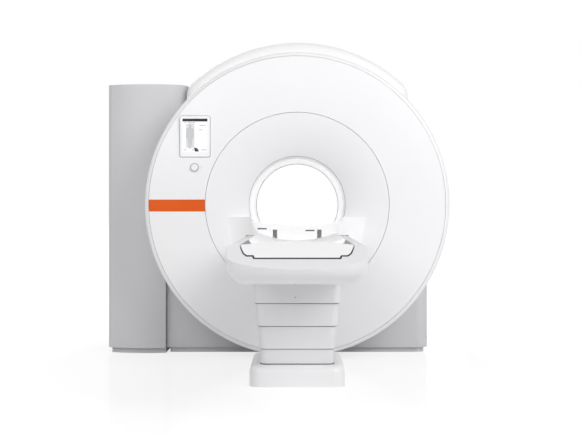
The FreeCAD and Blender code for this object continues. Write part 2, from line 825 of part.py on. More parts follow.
def make_cabinet():
    """The electronics cabinet beside the magnet, cut away where the base box passes."""
    low = toe_height
    outer = cabinet_solid("cabinet_outer", as_size(0), low, cabinet_top, 0)
    inner = cabinet_solid("cabinet_inner", cabinet_wall, low - cabinet_wall,
                          cabinet_top - cabinet_wall, cabinet_wall)
    notch_side = -base_half - seat
    notch_top = base_top + seat
    deep = (front + cabinet_apex - cabinet_bow, rear)
    notch = block("cabinet_notch", (notch_side, -casing_half), deep, (0, notch_top))
    back_notch = block("cabinet_inner_notch", (notch_side - cabinet_wall, -casing_half), deep,
                       (0, notch_top + cabinet_wall))
    outside = combine("Cut", "cabinet_outside", outer, notch)
    inside = combine("Cut", "cabinet_inside", inner, back_notch)
    combine("Cut", "cabinet_shell", outside, inside, keep=True)

    left, right, _, _, back, _ = cabinet_outline(as_size(0))
    body = new_body("cabinet_door")
    edge = cabinet_wall
    begin = back + seat
    pad(body, "Y", begin, door_thick, [
        (left, low), (notch_side, low), (notch_side, notch_top), (right, notch_top),
        (right, cabinet_top), (left, cabinet_top)])
    centre = (left + notch_side) / 2
    pocket(body, "Y", begin - edge, door_thick + 2 * edge, (centre, fan_up, fan_radius + edge))
    bar = fan_hub / 2
    pad(body, "Y", begin + door_thick - edge, edge,
        rectangle(centre - fan_radius - 2 * edge, centre + fan_radius + 2 * edge,
                  fan_up - bar, fan_up + bar))
    pad(body, "Y", begin + door_thick - 2 * edge, 2 * edge, (centre, fan_up, fan_hub / 2))
    pocket(body, "Y", begin, 2 * door_thick, (centre, fan_up, fan_shaft + turning_fit))
    louvre = pocket(body, "Y", begin - edge, door_thick + 2 * edge,
                    rectangle(centre - louvre_half, centre + louvre_half,
                              low + unit_high, low + unit_high + 2 * edge))
    stack(body, louvre, louvre_pitch * (LOUVRES - 1), LOUVRES)

    body = new_body("cabinet_plinth")
    step = toe_set_back
    pl_left, pl_right, lf, _, pl_back, radius = cabinet_outline(step)
    side = notch_side - seat
    side_front = front + cabinet_apex + cabinet_bow - leg(radius, side - cabinet_apex_across)
    pad(body, "Z", 0, low - seat,
        [(pl_left, pl_back), (pl_left, lf, radius), (side, side_front), (side, pl_back)])

    fan_y = begin + door_thick - 2 * edge - fan_thick - seat
    body = new_body("cooling_fan")
    body.Placement = FreeCAD.Placement(
        FreeCAD.Vector(centre.value, fan_y.value, fan_up.value), FreeCAD.Rotation())
    for part, where in (("x", centre), ("y", fan_y), ("z", fan_up)):
        bind(body, f"Placement.Base.{part}", where)
    pad(body, "Y", 0, fan_thick, (0, 0, fan_hub))
    blade = pad(body, "Y", blade_thick, fan_thick - 2 * blade_thick,
                [(-blade_thick, fan_hub / 2), (blade_lead, fan_hub / 2),
                 (fan_hub, fan_radius - blade_trim), (fan_hub - 2 * blade_thick, fan_radius)])
    polar(body, blade, BLADES)
    pad(body, "Y", fan_thick - seat, 2 * edge + 2 * seat, (0, 0, fan_shaft))

    rack_front = back - rack_deep
    rack_low = low
    rack_high = cabinet_top - rack_head - low
    body = new_body("cabinet_rack")
    half = rack_wide / 2
    for across in (centre - half, centre + half - rack_post):
        for along in (rack_front, back - rack_post):
            pad(body, "Z", rack_low, rack_high,
                rectangle(across, across + rack_post, along, along + rack_post))
    for up in (rack_low, rack_low + rack_high - rack_post):
        pad(body, "Z", up, rack_post,
            rectangle(centre - half, centre + half, rack_front, back),
            rectangle(centre - half + rack_post, centre + half - rack_post,
                      rack_front + rack_post, back - rack_post))
    inside_half = half - rack_post - slip
    body = new_body("power_units")
    unit = pad(body, "Z", rack_low + rack_post + seat, unit_high,
               rectangle(centre - inside_half, centre + inside_half,
                         rack_front + slip, back - rack_post))
    stack(body, unit, unit_pitch * (UNITS - 1), UNITS)


# ---------------------------------------------------------------- display, dial

def make_display():
    """The upright screen in its rounded frame, and the control dial below it."""
    body = new_body("display_bezel")
    face = front - display_proud
    pad(body, "Y", face, display_deep,
        rounded(display_wide, display_high, display_corner, display_across, display_up))
    left = display_across - display_wide / 2 + screen_side
    right = display_across + display_wide / 2 - screen_side
    low = display_up - display_high / 2 + screen_bottom
    high = display_up + display_high / 2 - screen_top
    pocket(body, "Y", face - seat, screen_thick + 2 * seat, rectangle(left, right, low, high))
    fillet(body, sheet_wall / 2, [
        name for name in edges_where(body, y=face)
        if name not in edges_where(body, x=[left, right], y=face)])
    body = new_body("display_glass")
    pad(body, "Y", face + screen_sunk, screen_thick - screen_sunk,
        rectangle(left + seat, right - seat, low + seat, high - seat))

    body = new_body("dial_ring")
    ring_face = front - dial_proud
    pad(body, "Y", ring_face, dial_back, (dial_across, dial_up, dial_radius))
    pocket(body, "Y", ring_face - seat, dial_back - sheet_wall + seat,
           (dial_across, dial_up, dial_cap_radius + seat))
    pocket(body, "Y", ring_face, dial_back + seat,
           (dial_across, dial_up, stem_radius + turning_fit))
    body = new_body("dial_stem")
    stem_face = ring_face + dial_web
    pad(body, "Y", stem_face, dial_back, (dial_across, dial_up, stem_radius))
    body = new_body("dial_cap")
    pad(body, "Y", ring_face - dial_press * 2, dial_cap_deep,
        (dial_across, dial_up, dial_cap_radius))
    pocket(body, "Y", stem_face - seat, dial_cap_deep,
           (dial_across, dial_up, stem_radius + turning_fit))


# ---------------------------------------------------------------- way into the bore

deck_half = cell("deck_half_width", 325)
deck_top = bore_height - cell("deck_drop", 200)
bridge_floor = deck_top - cell("bridge_floor_drop", 68.4)
bridge_half = cell("bridge_groove_half", 104)
bridge_shoulder = deck_top - cell("bridge_shoulder_drop", 43)
bridge_edge = cell("bridge_edge_half", 165)
bridge_start = cell("bridge_start", 100)
wing_gap = cell("wing_bore_gap", 3)
wing_wide = cell("wing_width", 155)
wing_top = deck_top + cell("wing_rise", 118)
wing_low = deck_top - cell("wing_drop", 100)
wing_clear = cell("wing_deck_clearance", 3)
wing_reach = cell("wing_reach", 70)
wing_bend = cell("wing_bend_space", 36)
wing_fade = cell("wing_fade_depth", 35)
wing_round = cell("wing_front_round", 70)
wing_flare = cell("wing_flare_radius", 300)


def make_bridge():
    """The grooved beam along the bottom of the bore that carries the tabletop inside."""
    body = new_body("bore_bridge")
    radius = bore_radius - seat
    edge_up = bore_height - leg(radius, bridge_edge)
    pad(body, "Y", front + bridge_start, magnet_length - 2 * bridge_start, [
        (-bridge_edge, edge_up, radius), (bridge_edge, edge_up),
        (bridge_edge, bridge_shoulder), (bridge_half, bridge_shoulder),
        (bridge_half, bridge_floor), (-bridge_half, bridge_floor),
        (-bridge_half, bridge_shoulder), (-bridge_edge, bridge_shoulder)])


def make_wings():
    """The two moulded cheeks above the deck's end, which fade outwards into the face."""
    face = new_body("face_envelope", keep=False, lift=bore_height)
    widest = ring_seam + wing_wide
    profile = [
        (cover_inner_drop, ring_seam - seam / 2, funnel_bow), (lip_depth, lip_radius),
        (lip_depth, 0), (magnet_length / 2, 0), (magnet_length / 2, widest),
        (cover_inner_drop, widest)]
    turn(face, ring_profile([(point[0] - 2 * seat,) + tuple(point[1:]) for point in profile]))
    inner = bore_radius + wing_gap
    low, past = deck_top + wing_clear, deck_half + wing_clear
    tip = leg(inner, bore_height - low)
    outer, bend = bore_radius + wing_wide, tip + wing_bend
    section = [
        (past, wing_low), (outer, wing_low), (outer, wing_top),
        (leg(inner, bore_height - wing_top), wing_top, -inner),
        (tip, low), (past, low)]
    begin = front - wing_reach
    slope = [(outer, begin), (outer, front + wing_fade, wing_flare), (bend, begin)]
    for label, side in (("entry_wing_left", flipped), ("entry_wing_right", list)):
        form = new_body(f"{label}_form", keep=False)
        pad(form, "Y", begin, wing_reach + lip_depth, side(section))
        pocket(form, "Z", wing_low - seat, wing_top - wing_low + 2 * seat, side(slope))
        fillet(form, wing_round, edges_where(form, "z", x=[-bend, bend], y=begin))
        combine("Cut", label, form, face, keep=True)


# ---------------------------------------------------------------- pedestal

column_set_back = cell("column_set_back", 900)
column_along = front - column_set_back
plate_wide = cell("base_plate_width", 440)
plate_long = cell("base_plate_length", 680)
plate_thick = cell("base_plate_thickness", 15)
table_anchor_radius = cell("table_anchor_radius", 9)
table_anchor_across = cell("table_anchor_across", 370)
table_anchor_along = cell("table_anchor_along", 600)
plinth_half = cell("plinth_half_width", 262)
plinth_long = cell("plinth_length", 760)
plinth_high = cell("plinth_height", 118)
plinth_corner = cell("plinth_corner", 70)
plinth_edge = cell("plinth_edge_round", 42)
plinth_wall = cell("plinth_wall", 5)
plinth_mouth = cell("plinth_mouth", 380)
post_radius = cell("plinth_post_radius", 10)
post_across = cell("plinth_post_across", 404)
post_along = cell("plinth_post_along", 440)
skirt_wall = cell("skirt_wall", 3)
skirt_corner = cell("skirt_corner", 38)
skirt_deeper = cell("skirt_extra_depth", 246)
column_wide = cell("column_outer_width", 240)
column_corner = cell("column_corner", 20)
column_wall = cell("column_wall", 8)
lift_stroke = cell("lift_stroke", 280)
deck_bottom = deck_top - cell("deck_depth", 186)
hull_wall = cell("hull_wall", 8)
actuator_radius = cell("actuator_radius", 45)
rod_radius = cell("actuator_rod_radius", 21)

# widths of each skirt at its top and at its lower edge; the edges share the height out evenly
skirt_1_flare = cell("skirt_1_flare_width", 517)
skirt_1_neck = cell("skirt_1_neck_width", 485)
skirt_1_low = cell("skirt_1_lower_width", 469.5)
skirt_1_neck_up = deck_bottom - cell("skirt_1_neck_drop", 36)
skirt_1_up = deck_bottom - cell("skirt_1_height", 158)
skirt_2_top = cell("skirt_2_upper_width", 458)
skirt_2_low = cell("skirt_2_lower_width", 441.5)
skirt_3_top = cell("skirt_3_upper_width", 431)
skirt_3_low = cell("skirt_3_lower_width", 416)
skirt_3_up = plinth_high + cell("skirt_3_rise", 86)
skirt_2_up = (skirt_1_up + skirt_3_up) / 2
skirt_4_top = cell("skirt_4_upper_width", 405)
skirt_4_low = cell("skirt_4_lower_width", 403)
skirt_lap = cell("skirt_lap", 30)
skirt_bead = cell("skirt_bead_height", 8)
screw_radius = cell("skirt_screw_radius", 3)
screw_across = cell("skirt_screw_across", -10)
screw_upper = cell("skirt_upper_screw_drop", 55)
screw_lower = cell("skirt_lower_screw_drop", 127)


def width_at(levels, height):
    """The width of a skirt at a height, from its levels (height, width) listed downwards."""
    upper, lower = levels[0], levels[1]
    if len(levels) > 2 and as_size(height).value < levels[1][0].value:
        upper, lower = levels[1], levels[2]
    taper = (upper[1] - lower[1]) / (upper[0] - lower[0])
    return lower[1] + taper * (height - lower[0])


def skirt_section(height, width, shy=0):
    """One level of a skirt, drawn in by shy on every side."""
    depth = width + skirt_deeper
    return (height, width - 2 * shy, depth - 2 * shy, skirt_corner - shy, as_size(0),
            column_along)


def skirt(label, levels, outside=None):
    """A tapered skirt, open above and below, guided by a top bead in the skirt outside it."""
    body = new_body(label)
    wall = skirt_wall
    over, under = levels[0][0] + wall, levels[-1][0] - wall
    inner = [(over, width_at(levels, over))] + levels[1:-1] + [(under, width_at(levels, under))]
    loft(body, [skirt_section(*level) for level in levels],
         [skirt_section(*level, wall) for level in inner])
    if outside is not None:
        low = levels[0][0] - skirt_bead
        reach = width_at(outside, low) - 2 * skirt_wall - 2 * seat
        top = levels[0][1]
        pad(body, "Z", low, skirt_bead, rounded(*skirt_section(low, reach)[1:]),
            rounded(*skirt_section(low, top, wall)[1:]))
    return body


def make_skirts():
    """The four telescoping skirts between the deck and the floor plinth, largest on top."""
    first = [(deck_bottom - seat, skirt_1_flare), (skirt_1_neck_up, skirt_1_neck),
             (skirt_1_up, skirt_1_low)]
    second = [(skirt_1_up + skirt_lap, skirt_2_top), (skirt_2_up, skirt_2_low)]
    third = [(skirt_2_up + skirt_lap, skirt_3_top), (skirt_3_up, skirt_3_low)]
    fourth = [(skirt_3_up + skirt_lap, skirt_4_top), (plinth_high + seat, skirt_4_low)]
    body = skirt("skirt_1", first)
    skirt_front = column_along - (skirt_1_flare + skirt_deeper) / 2
    for drop in (screw_upper, screw_lower):
        pocket(body, "Y", skirt_front - skirt_wall, skirt_corner,
               (screw_across, deck_bottom - drop, screw_radius))
    skirt("skirt_2", second, first)
    skirt("skirt_3", third, second)
    skirt("skirt_4", fourth, third)


def make_plinth():
    """The moulded floor cover of the pedestal, over an anchored steel plate."""
    body = new_body("table_plinth")
    pad(body, "Z", 0, plinth_high,
        rounded(2 * plinth_half, plinth_long, plinth_corner, as_size(0), column_along))
    fillet(body, plinth_edge, edges_where(body, z=plinth_high))
    wall = plinth_wall
    pocket(body, "Z", -wall, plinth_high - plinth_edge + wall,
           rounded(2 * (plinth_half - wall), plinth_long - 2 * wall, plinth_corner - wall,
                   as_size(0), column_along))
    pocket(body, "Z", 0, plinth_high + wall,
           rounded(plinth_mouth, plinth_mouth + skirt_deeper, skirt_corner,
                   as_size(0), column_along))

    post_top = plinth_high - plinth_edge + seat
    for side in (-1, 1):
        for end in (-1, 1):
            pad(body, "Z", plate_thick + seat, post_top - plate_thick - seat,
                (side * post_across / 2, column_along + end * post_along / 2, post_radius))

    body = new_body("table_base_plate")
    pad(body, "Z", 0, plate_thick,
        rectangle(-plate_wide / 2, plate_wide / 2,
                  column_along - plate_long / 2, column_along + plate_long / 2))
    for side in (-1, 1):
        for end in (-1, 1):
            pocket(body, "Z", -seat, plate_thick + 2 * seat,
                   (side * table_anchor_across / 2, column_along + end * table_anchor_along / 2,
                    table_anchor_radius))


def square_tube(label, low, high, stage):
    """One stage of the square column: each fits inside the one before with a sliding clearance."""
    body = new_body(label)
    inset = stage * (column_wall + slip)
    width = column_wide - 2 * inset
    corner = column_corner - inset / 2
    bore = width - 2 * column_wall
    pad(body, "Z", low, high - low,
        rounded(width, width, corner, as_size(0), column_along),
        rounded(bore, bore, corner - column_wall / 2, as_size(0), column_along))


column_foot_space = cell("column_foot_space", 15)
column_head_space = cell("column_head_space", 9)
column_outer_top = deck_bottom - lift_stroke - column_head_space
column_middle_top = deck_bottom - lift_stroke / 2 - column_head_space
column_middle_low = plate_thick + lift_stroke / 2 + column_foot_space
column_inner_low = plate_thick + lift_stroke + column_foot_space


def make_column():
    """The three-stage lifting column with its actuator inside."""
    foot = plate_thick + seat
    head = deck_bottom + hull_wall
    square_tube("column_outer", foot, column_outer_top, as_size(0))
    square_tube("column_middle", column_middle_low, column_middle_top, as_size(1))
    square_tube("column_inner", column_inner_low, head, as_size(2))
    body = new_body("actuator_housing")
    pad(body, "Z", foot, column_outer_top - foot,
        (0, column_along, actuator_radius), (0, column_along, rod_radius + seat))
    body = new_body("actuator_rod")
    low = column_outer_top - rod_radius
    pad(body, "Z", low, head - low, (0, column_along, rod_radius))


duct_half = cell("duct_half_width", 150)
duct_high = cell("duct_height", 14)


def make_duct():
    """The flat floor duct that carries the table's cables to the magnet."""
    body = new_body("cable_duct")
    begin = column_along + plinth_long / 2 + seat
    end = front + base_start + toe_set_back - seat
    slope = duct_high
    pad(body, "Y", begin, end - begin, [
        (-duct_half, 0), (duct_half, 0), (duct_half - slope, duct_high),
        (-duct_half + slope, duct_high)])


# ---------------------------------------------------------------- deck

deck_reach = cell("deck_reach", 2559)
deck_bow = cell("deck_bow_radius", 540)
deck_crease = deck_top - cell("deck_crease_drop", 104)
deck_end = cell("deck_head_end", 20)
slope_run = cell("deck_slope_run", 270)
keel_run = cell("deck_under_run", 375)
keel_drop = cell("deck_under_drop", 45)
hull_round = cell("hull_bottom_round", 88)
hull_corner = cell("hull_corner_round", 100)
ledge_drop = cell("deck_ledge_round", 12)

# the tabletop channel's corners: how far each lies in from the deck's side, and below its top
channel_floor = deck_top - cell("channel_floor_drop", 59)
channel_floor_half = deck_half - cell("channel_floor_inset", 124)
channel_step_up = deck_top - cell("channel_step_drop", 48.5)
channel_step_half = deck_half - cell("channel_step_inset", 117.5)
channel_step_out = deck_half - cell("channel_step_outer_inset", 91)
channel_bend_half = deck_half - cell("channel_bend_inset", 73)
channel_bend_up = deck_top - cell("channel_bend_drop", 37)
channel_wall_half = deck_half - cell("channel_wall_inset", 61.5)
channel_wall_up = deck_top - cell("channel_wall_drop", 16)
channel_top_half = deck_half - cell("channel_top_inset", 54.5)

column_way = column_wide + cell("column_way_space", 22)
end_cover_thick = cell("end_cover_thickness", 8)


def channel(inset, top):
    """The stepped section of the tabletop channel, drawn in by inset and closed at a height."""
    spread = (channel_top_half - channel_wall_half) / (deck_top - channel_wall_up)
    top_half = channel_wall_half + spread * (top - channel_wall_up)
    return mirrored([
        (channel_floor_half - inset, channel_floor + inset),
        (channel_step_half - inset, channel_step_up + inset),
        (channel_step_out - inset / 2, channel_step_up + inset),
        (channel_bend_half - inset, channel_bend_up + inset / 2),
        (channel_wall_half - inset, channel_wall_up),
        (top_half - inset, top),
    ])


def nose_slope():
    """The region above the sloping foot-end plane of the deck, as (along, up) corners."""
    tip = front - deck_reach
    more = 2
    rise = (deck_top - deck_crease) * more
    return [
        (tip - slope_run, deck_crease - (deck_top - deck_crease)),
        (tip + slope_run * more, deck_crease + rise), (tip - slope_run, deck_crease + rise)]


def make_hull():
    """The boat-shaped deck moulding with a bowed, sloping foot end and the tabletop channel."""
    tip = front - deck_reach
    side = tip + deck_bow - leg(deck_bow, deck_half)
    end = front - deck_end
    body = new_body("deck_hull")
    pad(body, "Z", deck_bottom, deck_top - deck_bottom, [
        (-deck_half, side, deck_bow), (deck_half, side), (deck_half, end), (-deck_half, end)])
    rise, run = deck_crease - keel_drop - deck_bottom, keel_run + seat
    keel_bow = (run * run + rise * rise) / (2 * rise)
    below = deck_bottom - hull_wall
    pocket(body, "X", -2 * deck_half, 4 * deck_half, [
        (tip + keel_run, deck_bottom, -keel_bow), (tip - seat, deck_bottom + rise),
        (tip - slope_run, deck_bottom + rise), (tip - slope_run, below),
        (tip + keel_run, below)])
    fillet(body, hull_corner, edges_where(body, "z", x=[-deck_half, deck_half], y=side))
    fillet(body, hull_round, edges_where(body, "y", x=[-deck_half, deck_half], z=deck_bottom))
    pocket(body, "X", -2 * deck_half, 4 * deck_half, nose_slope())
    fillet(body, ledge_drop, edges_where(body, "y", x=[-deck_half, deck_half], z=deck_top))
    pocket(body, "Y", tip, deck_reach, channel(as_size(0), deck_top + hull_wall))
    hollow = tip + keel_run
    inner = deck_half - hull_wall
    low = deck_bottom + hull_wall
    high = channel_floor - hull_wall
    bend = hull_round - hull_wall
    pocket(body, "Y", hollow, end - hollow + slip, [
        (-inner + bend, low), (inner - bend, low, bend), (inner, low + bend), (inner, high),
        (-inner, high), (-inner, low + bend, bend)])
    pocket(body, "Z", high - slip, channel_floor - high + 2 * slip,
           rectangle(-bridge_half, bridge_half, hollow, end + slip))
    pocket(body, "Z", deck_bottom - slip, hull_wall + 2 * slip,
           rounded(column_way, column_way, column_corner, as_size(0), column_along))

    body = new_body("deck_end_cover")
    gap = seat
    pad(body, "Y", end - end_cover_thick, end_cover_thick, [
        (-inner + bend + gap, low + gap), (inner - bend - gap, low + gap, bend),
        (inner - gap, low + bend + gap), (inner - gap, high - gap),
        (-inner + gap, high - gap), (-inner + gap, low + bend + gap, bend)])
    rail_outer = rail_outer_half + gap
    pocket(body, "Y", end - 2 * end_cover_thick, 3 * end_cover_thick,
           rectangle(-rail_outer, rail_outer, rail_low - gap, high))


rail_inner_half = cell("rail_inner_half", 30)
rail_outer_half = bridge_half - cell("rail_groove_space", 7)
rail_low = deck_top - cell("rail_drop", 100)
beam_inner_half = cell("deck_beam_inner_half", 50)
beam_low = deck_bottom + cell("deck_beam_rise", 22)
head_plate = cell("head_plate_size", 300)
cross_plate = cell("deck_cross_thickness", 12)
cross_low = deck_bottom + cell("deck_cross_rise", 31)
pulley_radius = cell("pulley_radius", 36)
pulley_wide = cell("pulley_width", 26)
pulley_shaft = cell("pulley_shaft_radius", 9)
pulley_up = deck_top - cell("pulley_drop", 120)
belt_thick = cell("belt_thickness", 3)
belt_wide = cell("belt_width", 22)
head_pulley_set = cell("head_pulley_set_back", 80)
foot_pulley_set = cell("foot_pulley_set_back", 1990)
clamp_lead = cell("belt_clamp_lead", 55)
clamp_long = cell("belt_clamp_length", 50)
motor_radius = cell("motor_radius", 26)
motor_long = cell("motor_length", 150)
foot_pad_set = cell("deck_foot_pad_set_back", 260)
foot_pad_long = cell("deck_foot_pad_length", 48)

head_pulley = front - head_pulley_set
foot_pulley = front - foot_pulley_set


def make_deck_frame():
    """The welded frame in the deck, its glide rails, and the belt drive of the tabletop."""
    tip = front - deck_reach
    begin = tip + keel_run + hull_wall
    end = front - deck_end - end_cover_thick - seat
    body = new_body("deck_frame")
    outer = rail_outer_half
    for low_x, high_x in ((beam_inner_half, outer), (-outer, -beam_inner_half)):
        pad(body, "Z", beam_low, rail_low - seat - beam_low,
            rectangle(low_x, high_x, begin, end))
    clear = 3 * pulley_radius
    for along in (foot_pulley - clear / 2, foot_pulley + clear, column_along - head_plate / 2,
                  column_along + head_plate / 2, head_pulley - clear):
        pad(body, "Z", cross_low, rail_low - 2 * cross_plate - cross_low,
            rectangle(-beam_inner_half - seat, beam_inner_half + seat,
                      along, along + cross_plate))
    plate_low = deck_bottom + hull_wall + seat
    pad(body, "Z", plate_low, beam_low + seat - plate_low,
        rectangle(-head_plate / 2, head_plate / 2,
                  column_along - head_plate / 2, column_along + head_plate / 2))
    for along in (begin + foot_pad_set, end - foot_pad_set / 2):
        pad(body, "Z", plate_low, beam_low + seat - plate_low,
            rectangle(-outer, outer, along, along + foot_pad_long))
    for along in (head_pulley, foot_pulley):
        pocket(body, "X", -2 * outer, 4 * outer, (along, pulley_up, pulley_shaft + turning_fit))

    body = new_body("glide_rails")
    for low_x, high_x in ((rail_inner_half, outer), (-outer, -rail_inner_half)):
        pad(body, "Z", rail_low, bridge_floor - rail_low,
            rectangle(low_x, high_x, begin, front - deck_end))

    for label, along in (("drive_pulley", foot_pulley), ("idler_pulley", head_pulley)):
        body = new_body(label)
        half = pulley_wide / 2
        pad(body, "X", -half, pulley_wide, (along, pulley_up, pulley_radius))
        shaft = outer - seat
        pad(body, "X", -shaft, 2 * shaft, (along, pulley_up, pulley_shaft))

    body = new_body("drive_motor")
    motor_at = outer + seat
    pad(body, "X", motor_at, motor_long, (foot_pulley, pulley_up, motor_radius))
    pad(body, "X", motor_at, cross_plate,
        rectangle(foot_pulley - motor_radius - cross_plate, foot_pulley + motor_radius
                  + cross_plate, pulley_up - motor_radius, pulley_up + motor_radius))

    body = new_body("drive_belt")
    low_r = pulley_radius + seat
    high_r = low_r + belt_thick
    loops = []
    for radius in (high_r, low_r):
        loops.append([
            (foot_pulley, pulley_up - radius), (head_pulley, pulley_up - radius, radius),
            (head_pulley + radius, pulley_up, radius), (head_pulley, pulley_up + radius),
            (foot_pulley, pulley_up + radius, radius), (foot_pulley - radius, pulley_up, radius)])
    pad(body, "X", -belt_wide / 2, belt_wide, *loops)


# ---------------------------------------------------------------- tabletop

seal_thick = cell("seal_thickness", 6)
nose_back = cell("nose_length_from_tip", 404)
nose_crown_radius = cell("nose_crown_radius", 2330)
nose_shell = cell("nose_shell", 7)
slab_top = deck_top + cell("slab_edge_rise", 26)
slab_edge = channel_step_out - cell("slab_edge_inset", 2)
slab_side = slab_edge - cell("slab_side_inset", 6)
slab_side_up = deck_top + cell("slab_side_rise", 12)
slab_bottom = deck_top - cell("slab_bottom_drop", 38)
slab_bottom_half = slab_edge - cell("slab_bottom_inset", 64)
slab_dish_half = slab_edge - cell("slab_dish_inset", 12)
slab_dish_radius = cell("slab_dish_radius", 611)
slab_head = cell("slab_head_set_back", 420)
keel_slot = cell("keel_end_inset", 20)
console_long = cell("console_length", 210)
console_outer = bore_radius - cell("console_bore_space", 11)
console_top = deck_top + cell("console_rise", 97)
console_lip = cell("console_lip_width", 15)
console_dish_radius = cell("console_dish_radius", 1135)
console_step = cell("console_set_back", 20)
notch_wide = cell("console_notch_width", 26)
notch_across = cell("console_notch_across", 131)
notch_head = deck_top + cell("console_notch_rise", 48)
notch_deep = cell("console_notch_depth", 70)
socket_wide = cell("socket_width", 54)
socket_high = cell("socket_height", 8)
socket_deep = cell("socket_depth", 30)
socket_left = cell("socket_left_across", -207)
socket_left_up = deck_top + cell("socket_left_rise", 53)
socket_right = cell("socket_right_across", 76)
socket_right_up = deck_top + cell("socket_right_rise", 43)


def make_tabletop():
    """The sliding tabletop: dished slab with a keel, foot-end nose, head-end socket console."""
    tip = front - deck_reach
    foot = tip + nose_back
    head = front - slab_head
    body = new_body("tabletop")
    pad(body, "Y", foot + seat, head - foot - seat, [
        (-slab_bottom_half, slab_bottom), (slab_bottom_half, slab_bottom),
        (slab_side, slab_side_up), (slab_edge, slab_top),
        (slab_dish_half, slab_top, -slab_dish_radius), (-slab_dish_half, slab_top),
        (-slab_edge, slab_top), (-slab_side, slab_side_up)])
    keel_low = bridge_floor + slip
    pad(body, "Y", foot + keel_slot, head - foot - 2 * keel_slot,
        rectangle(-rail_outer_half, rail_outer_half, keel_low, slab_bottom + seat))

    body = new_body("nose_seal")
    inset = seal_thick
    pad(body, "Y", tip, slope_run * 3 / 2, channel(seat, deck_top - ledge_drop))
    pocket(body, "Y", tip - inset, slope_run * 2 + inset, channel(inset, deck_top + inset))
    pocket(body, "X", -2 * deck_half, 4 * deck_half, nose_slope())

    body = new_body("tabletop_nose")
    gap = seal_thick + slip
    half = channel_top_half - gap
    outline = channel(gap, deck_top)
    corner = len(outline) // 2 - 1
    outline[corner] = (half, deck_top, nose_crown_radius)
    pad(body, "Y", tip, nose_back, outline)
    pocket(body, "X", -2 * deck_half, 4 * deck_half, nose_slope())
    shell = nose_shell
    pocket(body, "Y", tip + slope_run + shell, nose_back, mirrored([
        (slab_bottom_half, channel_step_up + gap + shell),
        (channel_wall_half - gap - 3 * shell, channel_wall_up),
        (channel_wall_half - gap - 3 * shell, deck_top - shell)]))

    body = new_body("coil_console")
    begin = head - console_step - console_long
    low = slab_top + seat
    out_low = leg(console_outer, bore_height - low)
    out_high = leg(console_outer, bore_height - console_top)
    inner = out_high - console_lip
    pad(body, "Y", begin, console_long, [
        (out_low, low, console_outer), (out_high, console_top),
        (inner, console_top, -console_dish_radius), (-inner, console_top),
        (-out_high, console_top, console_outer), (-out_low, low),
        (-slab_dish_half, low, slab_dish_radius), (slab_dish_half, low)])
    for across in (-notch_across, notch_across):
        pocket(body, "Y", begin - seat, notch_deep + seat,
               rectangle(across - notch_wide / 2, across + notch_wide / 2, slab_bottom, notch_head))
    for across, up in ((socket_left, socket_left_up), (socket_right, socket_right_up)):
        pocket(body, "Y", begin - seat, socket_deep + seat,
               rectangle(across - socket_wide / 2, across + socket_wide / 2,
                         up - socket_high / 2, up + socket_high / 2))

    body = new_body("belt_clamp")
    at = foot_pulley + clamp_lead
    low = pulley_up + pulley_radius + 2 * seat + belt_thick
    pad(body, "Y", at, clamp_long,
        rectangle(-belt_wide / 2, belt_wide / 2, low, bridge_floor + slip - seat))


# ---------------------------------------------------------------- build and write

make_front_cover()
make_rim()
make_funnels()
make_magnet()
make_carrier()
make_drum()
make_cold_head()
make_casing()
make_base()
make_base_frame()
make_cabinet()
make_display()
make_bridge()
make_wings()
make_skirts()
make_plinth()
make_column()
make_duct()
make_hull()
make_deck_frame()
make_tabletop()
doc.recompute()

for thing in doc.Objects:
    if "Invalid" in thing.State or "Error" in thing.State:
        raise RuntimeError(f"{thing.Label} failed: {thing.State}")
os.makedirs("parts", exist_ok=True)
for piece in subparts:
    shape = piece.Shape
    if shape.isNull() or not shape.isValid() or not shape.Solids:
        raise RuntimeError(f"{piece.Label} has no valid solid")
for piece in subparts:
    piece.Shape.exportStep(f"parts/{piece.Label}.step")
print(len(subparts), "sub-parts written")
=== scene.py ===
import math

import bmesh
import bpy
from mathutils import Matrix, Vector


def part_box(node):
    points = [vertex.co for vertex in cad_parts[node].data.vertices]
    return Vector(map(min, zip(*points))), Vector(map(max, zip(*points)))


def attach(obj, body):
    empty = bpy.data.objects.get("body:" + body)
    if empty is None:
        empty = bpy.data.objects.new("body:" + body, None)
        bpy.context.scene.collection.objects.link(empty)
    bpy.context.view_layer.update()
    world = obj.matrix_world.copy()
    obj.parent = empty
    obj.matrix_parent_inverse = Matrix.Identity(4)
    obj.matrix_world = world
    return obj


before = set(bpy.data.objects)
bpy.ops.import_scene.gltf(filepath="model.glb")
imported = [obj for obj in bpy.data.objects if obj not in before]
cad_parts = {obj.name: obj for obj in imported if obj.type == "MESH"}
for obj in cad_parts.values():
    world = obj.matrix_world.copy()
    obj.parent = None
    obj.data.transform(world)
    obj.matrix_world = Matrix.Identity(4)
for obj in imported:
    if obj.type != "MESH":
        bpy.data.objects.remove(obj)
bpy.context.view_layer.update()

# ------------------------------------------------------------------ round face covers
# The outer ring, the trumpet-shaped inner ring, the edge ring and the two entry cheeks are moulded
# polyurethane foam with a two-part sprayed paint, screwed to a ring plate behind them. The paint is
# a soft-gloss white over a skin that waves a little from the mould.
MM = 0.001
MOULD_WAVE_MM = 260
FLECK_STARTS, FLECK_FULL = 0.62, 0.72      # levels of the grain


def linear(hex_colour):
    """An sRGB hex colour as linear RGBA."""
    parts = [int(hex_colour[place:place + 2], 16) / 255 for place in (1, 3, 5)]
    return tuple(p / 12.92 if p <= 0.04045 else ((p + 0.055) / 1.055) ** 2.4
                 for p in parts) + (1.0,)


def add_node(tree, kind, inputs=None, **settings):
    """Adds one node; an input is a plain value, or the output socket that feeds it."""
    node = tree.nodes.new(kind)
    for name, value in settings.items():
        setattr(node, name, value)
    for name, value in (inputs or {}).items():
        if isinstance(value, bpy.types.NodeSocket):
            tree.links.new(value, node.inputs[name])
        else:
            node.inputs[name].default_value = value
    return node


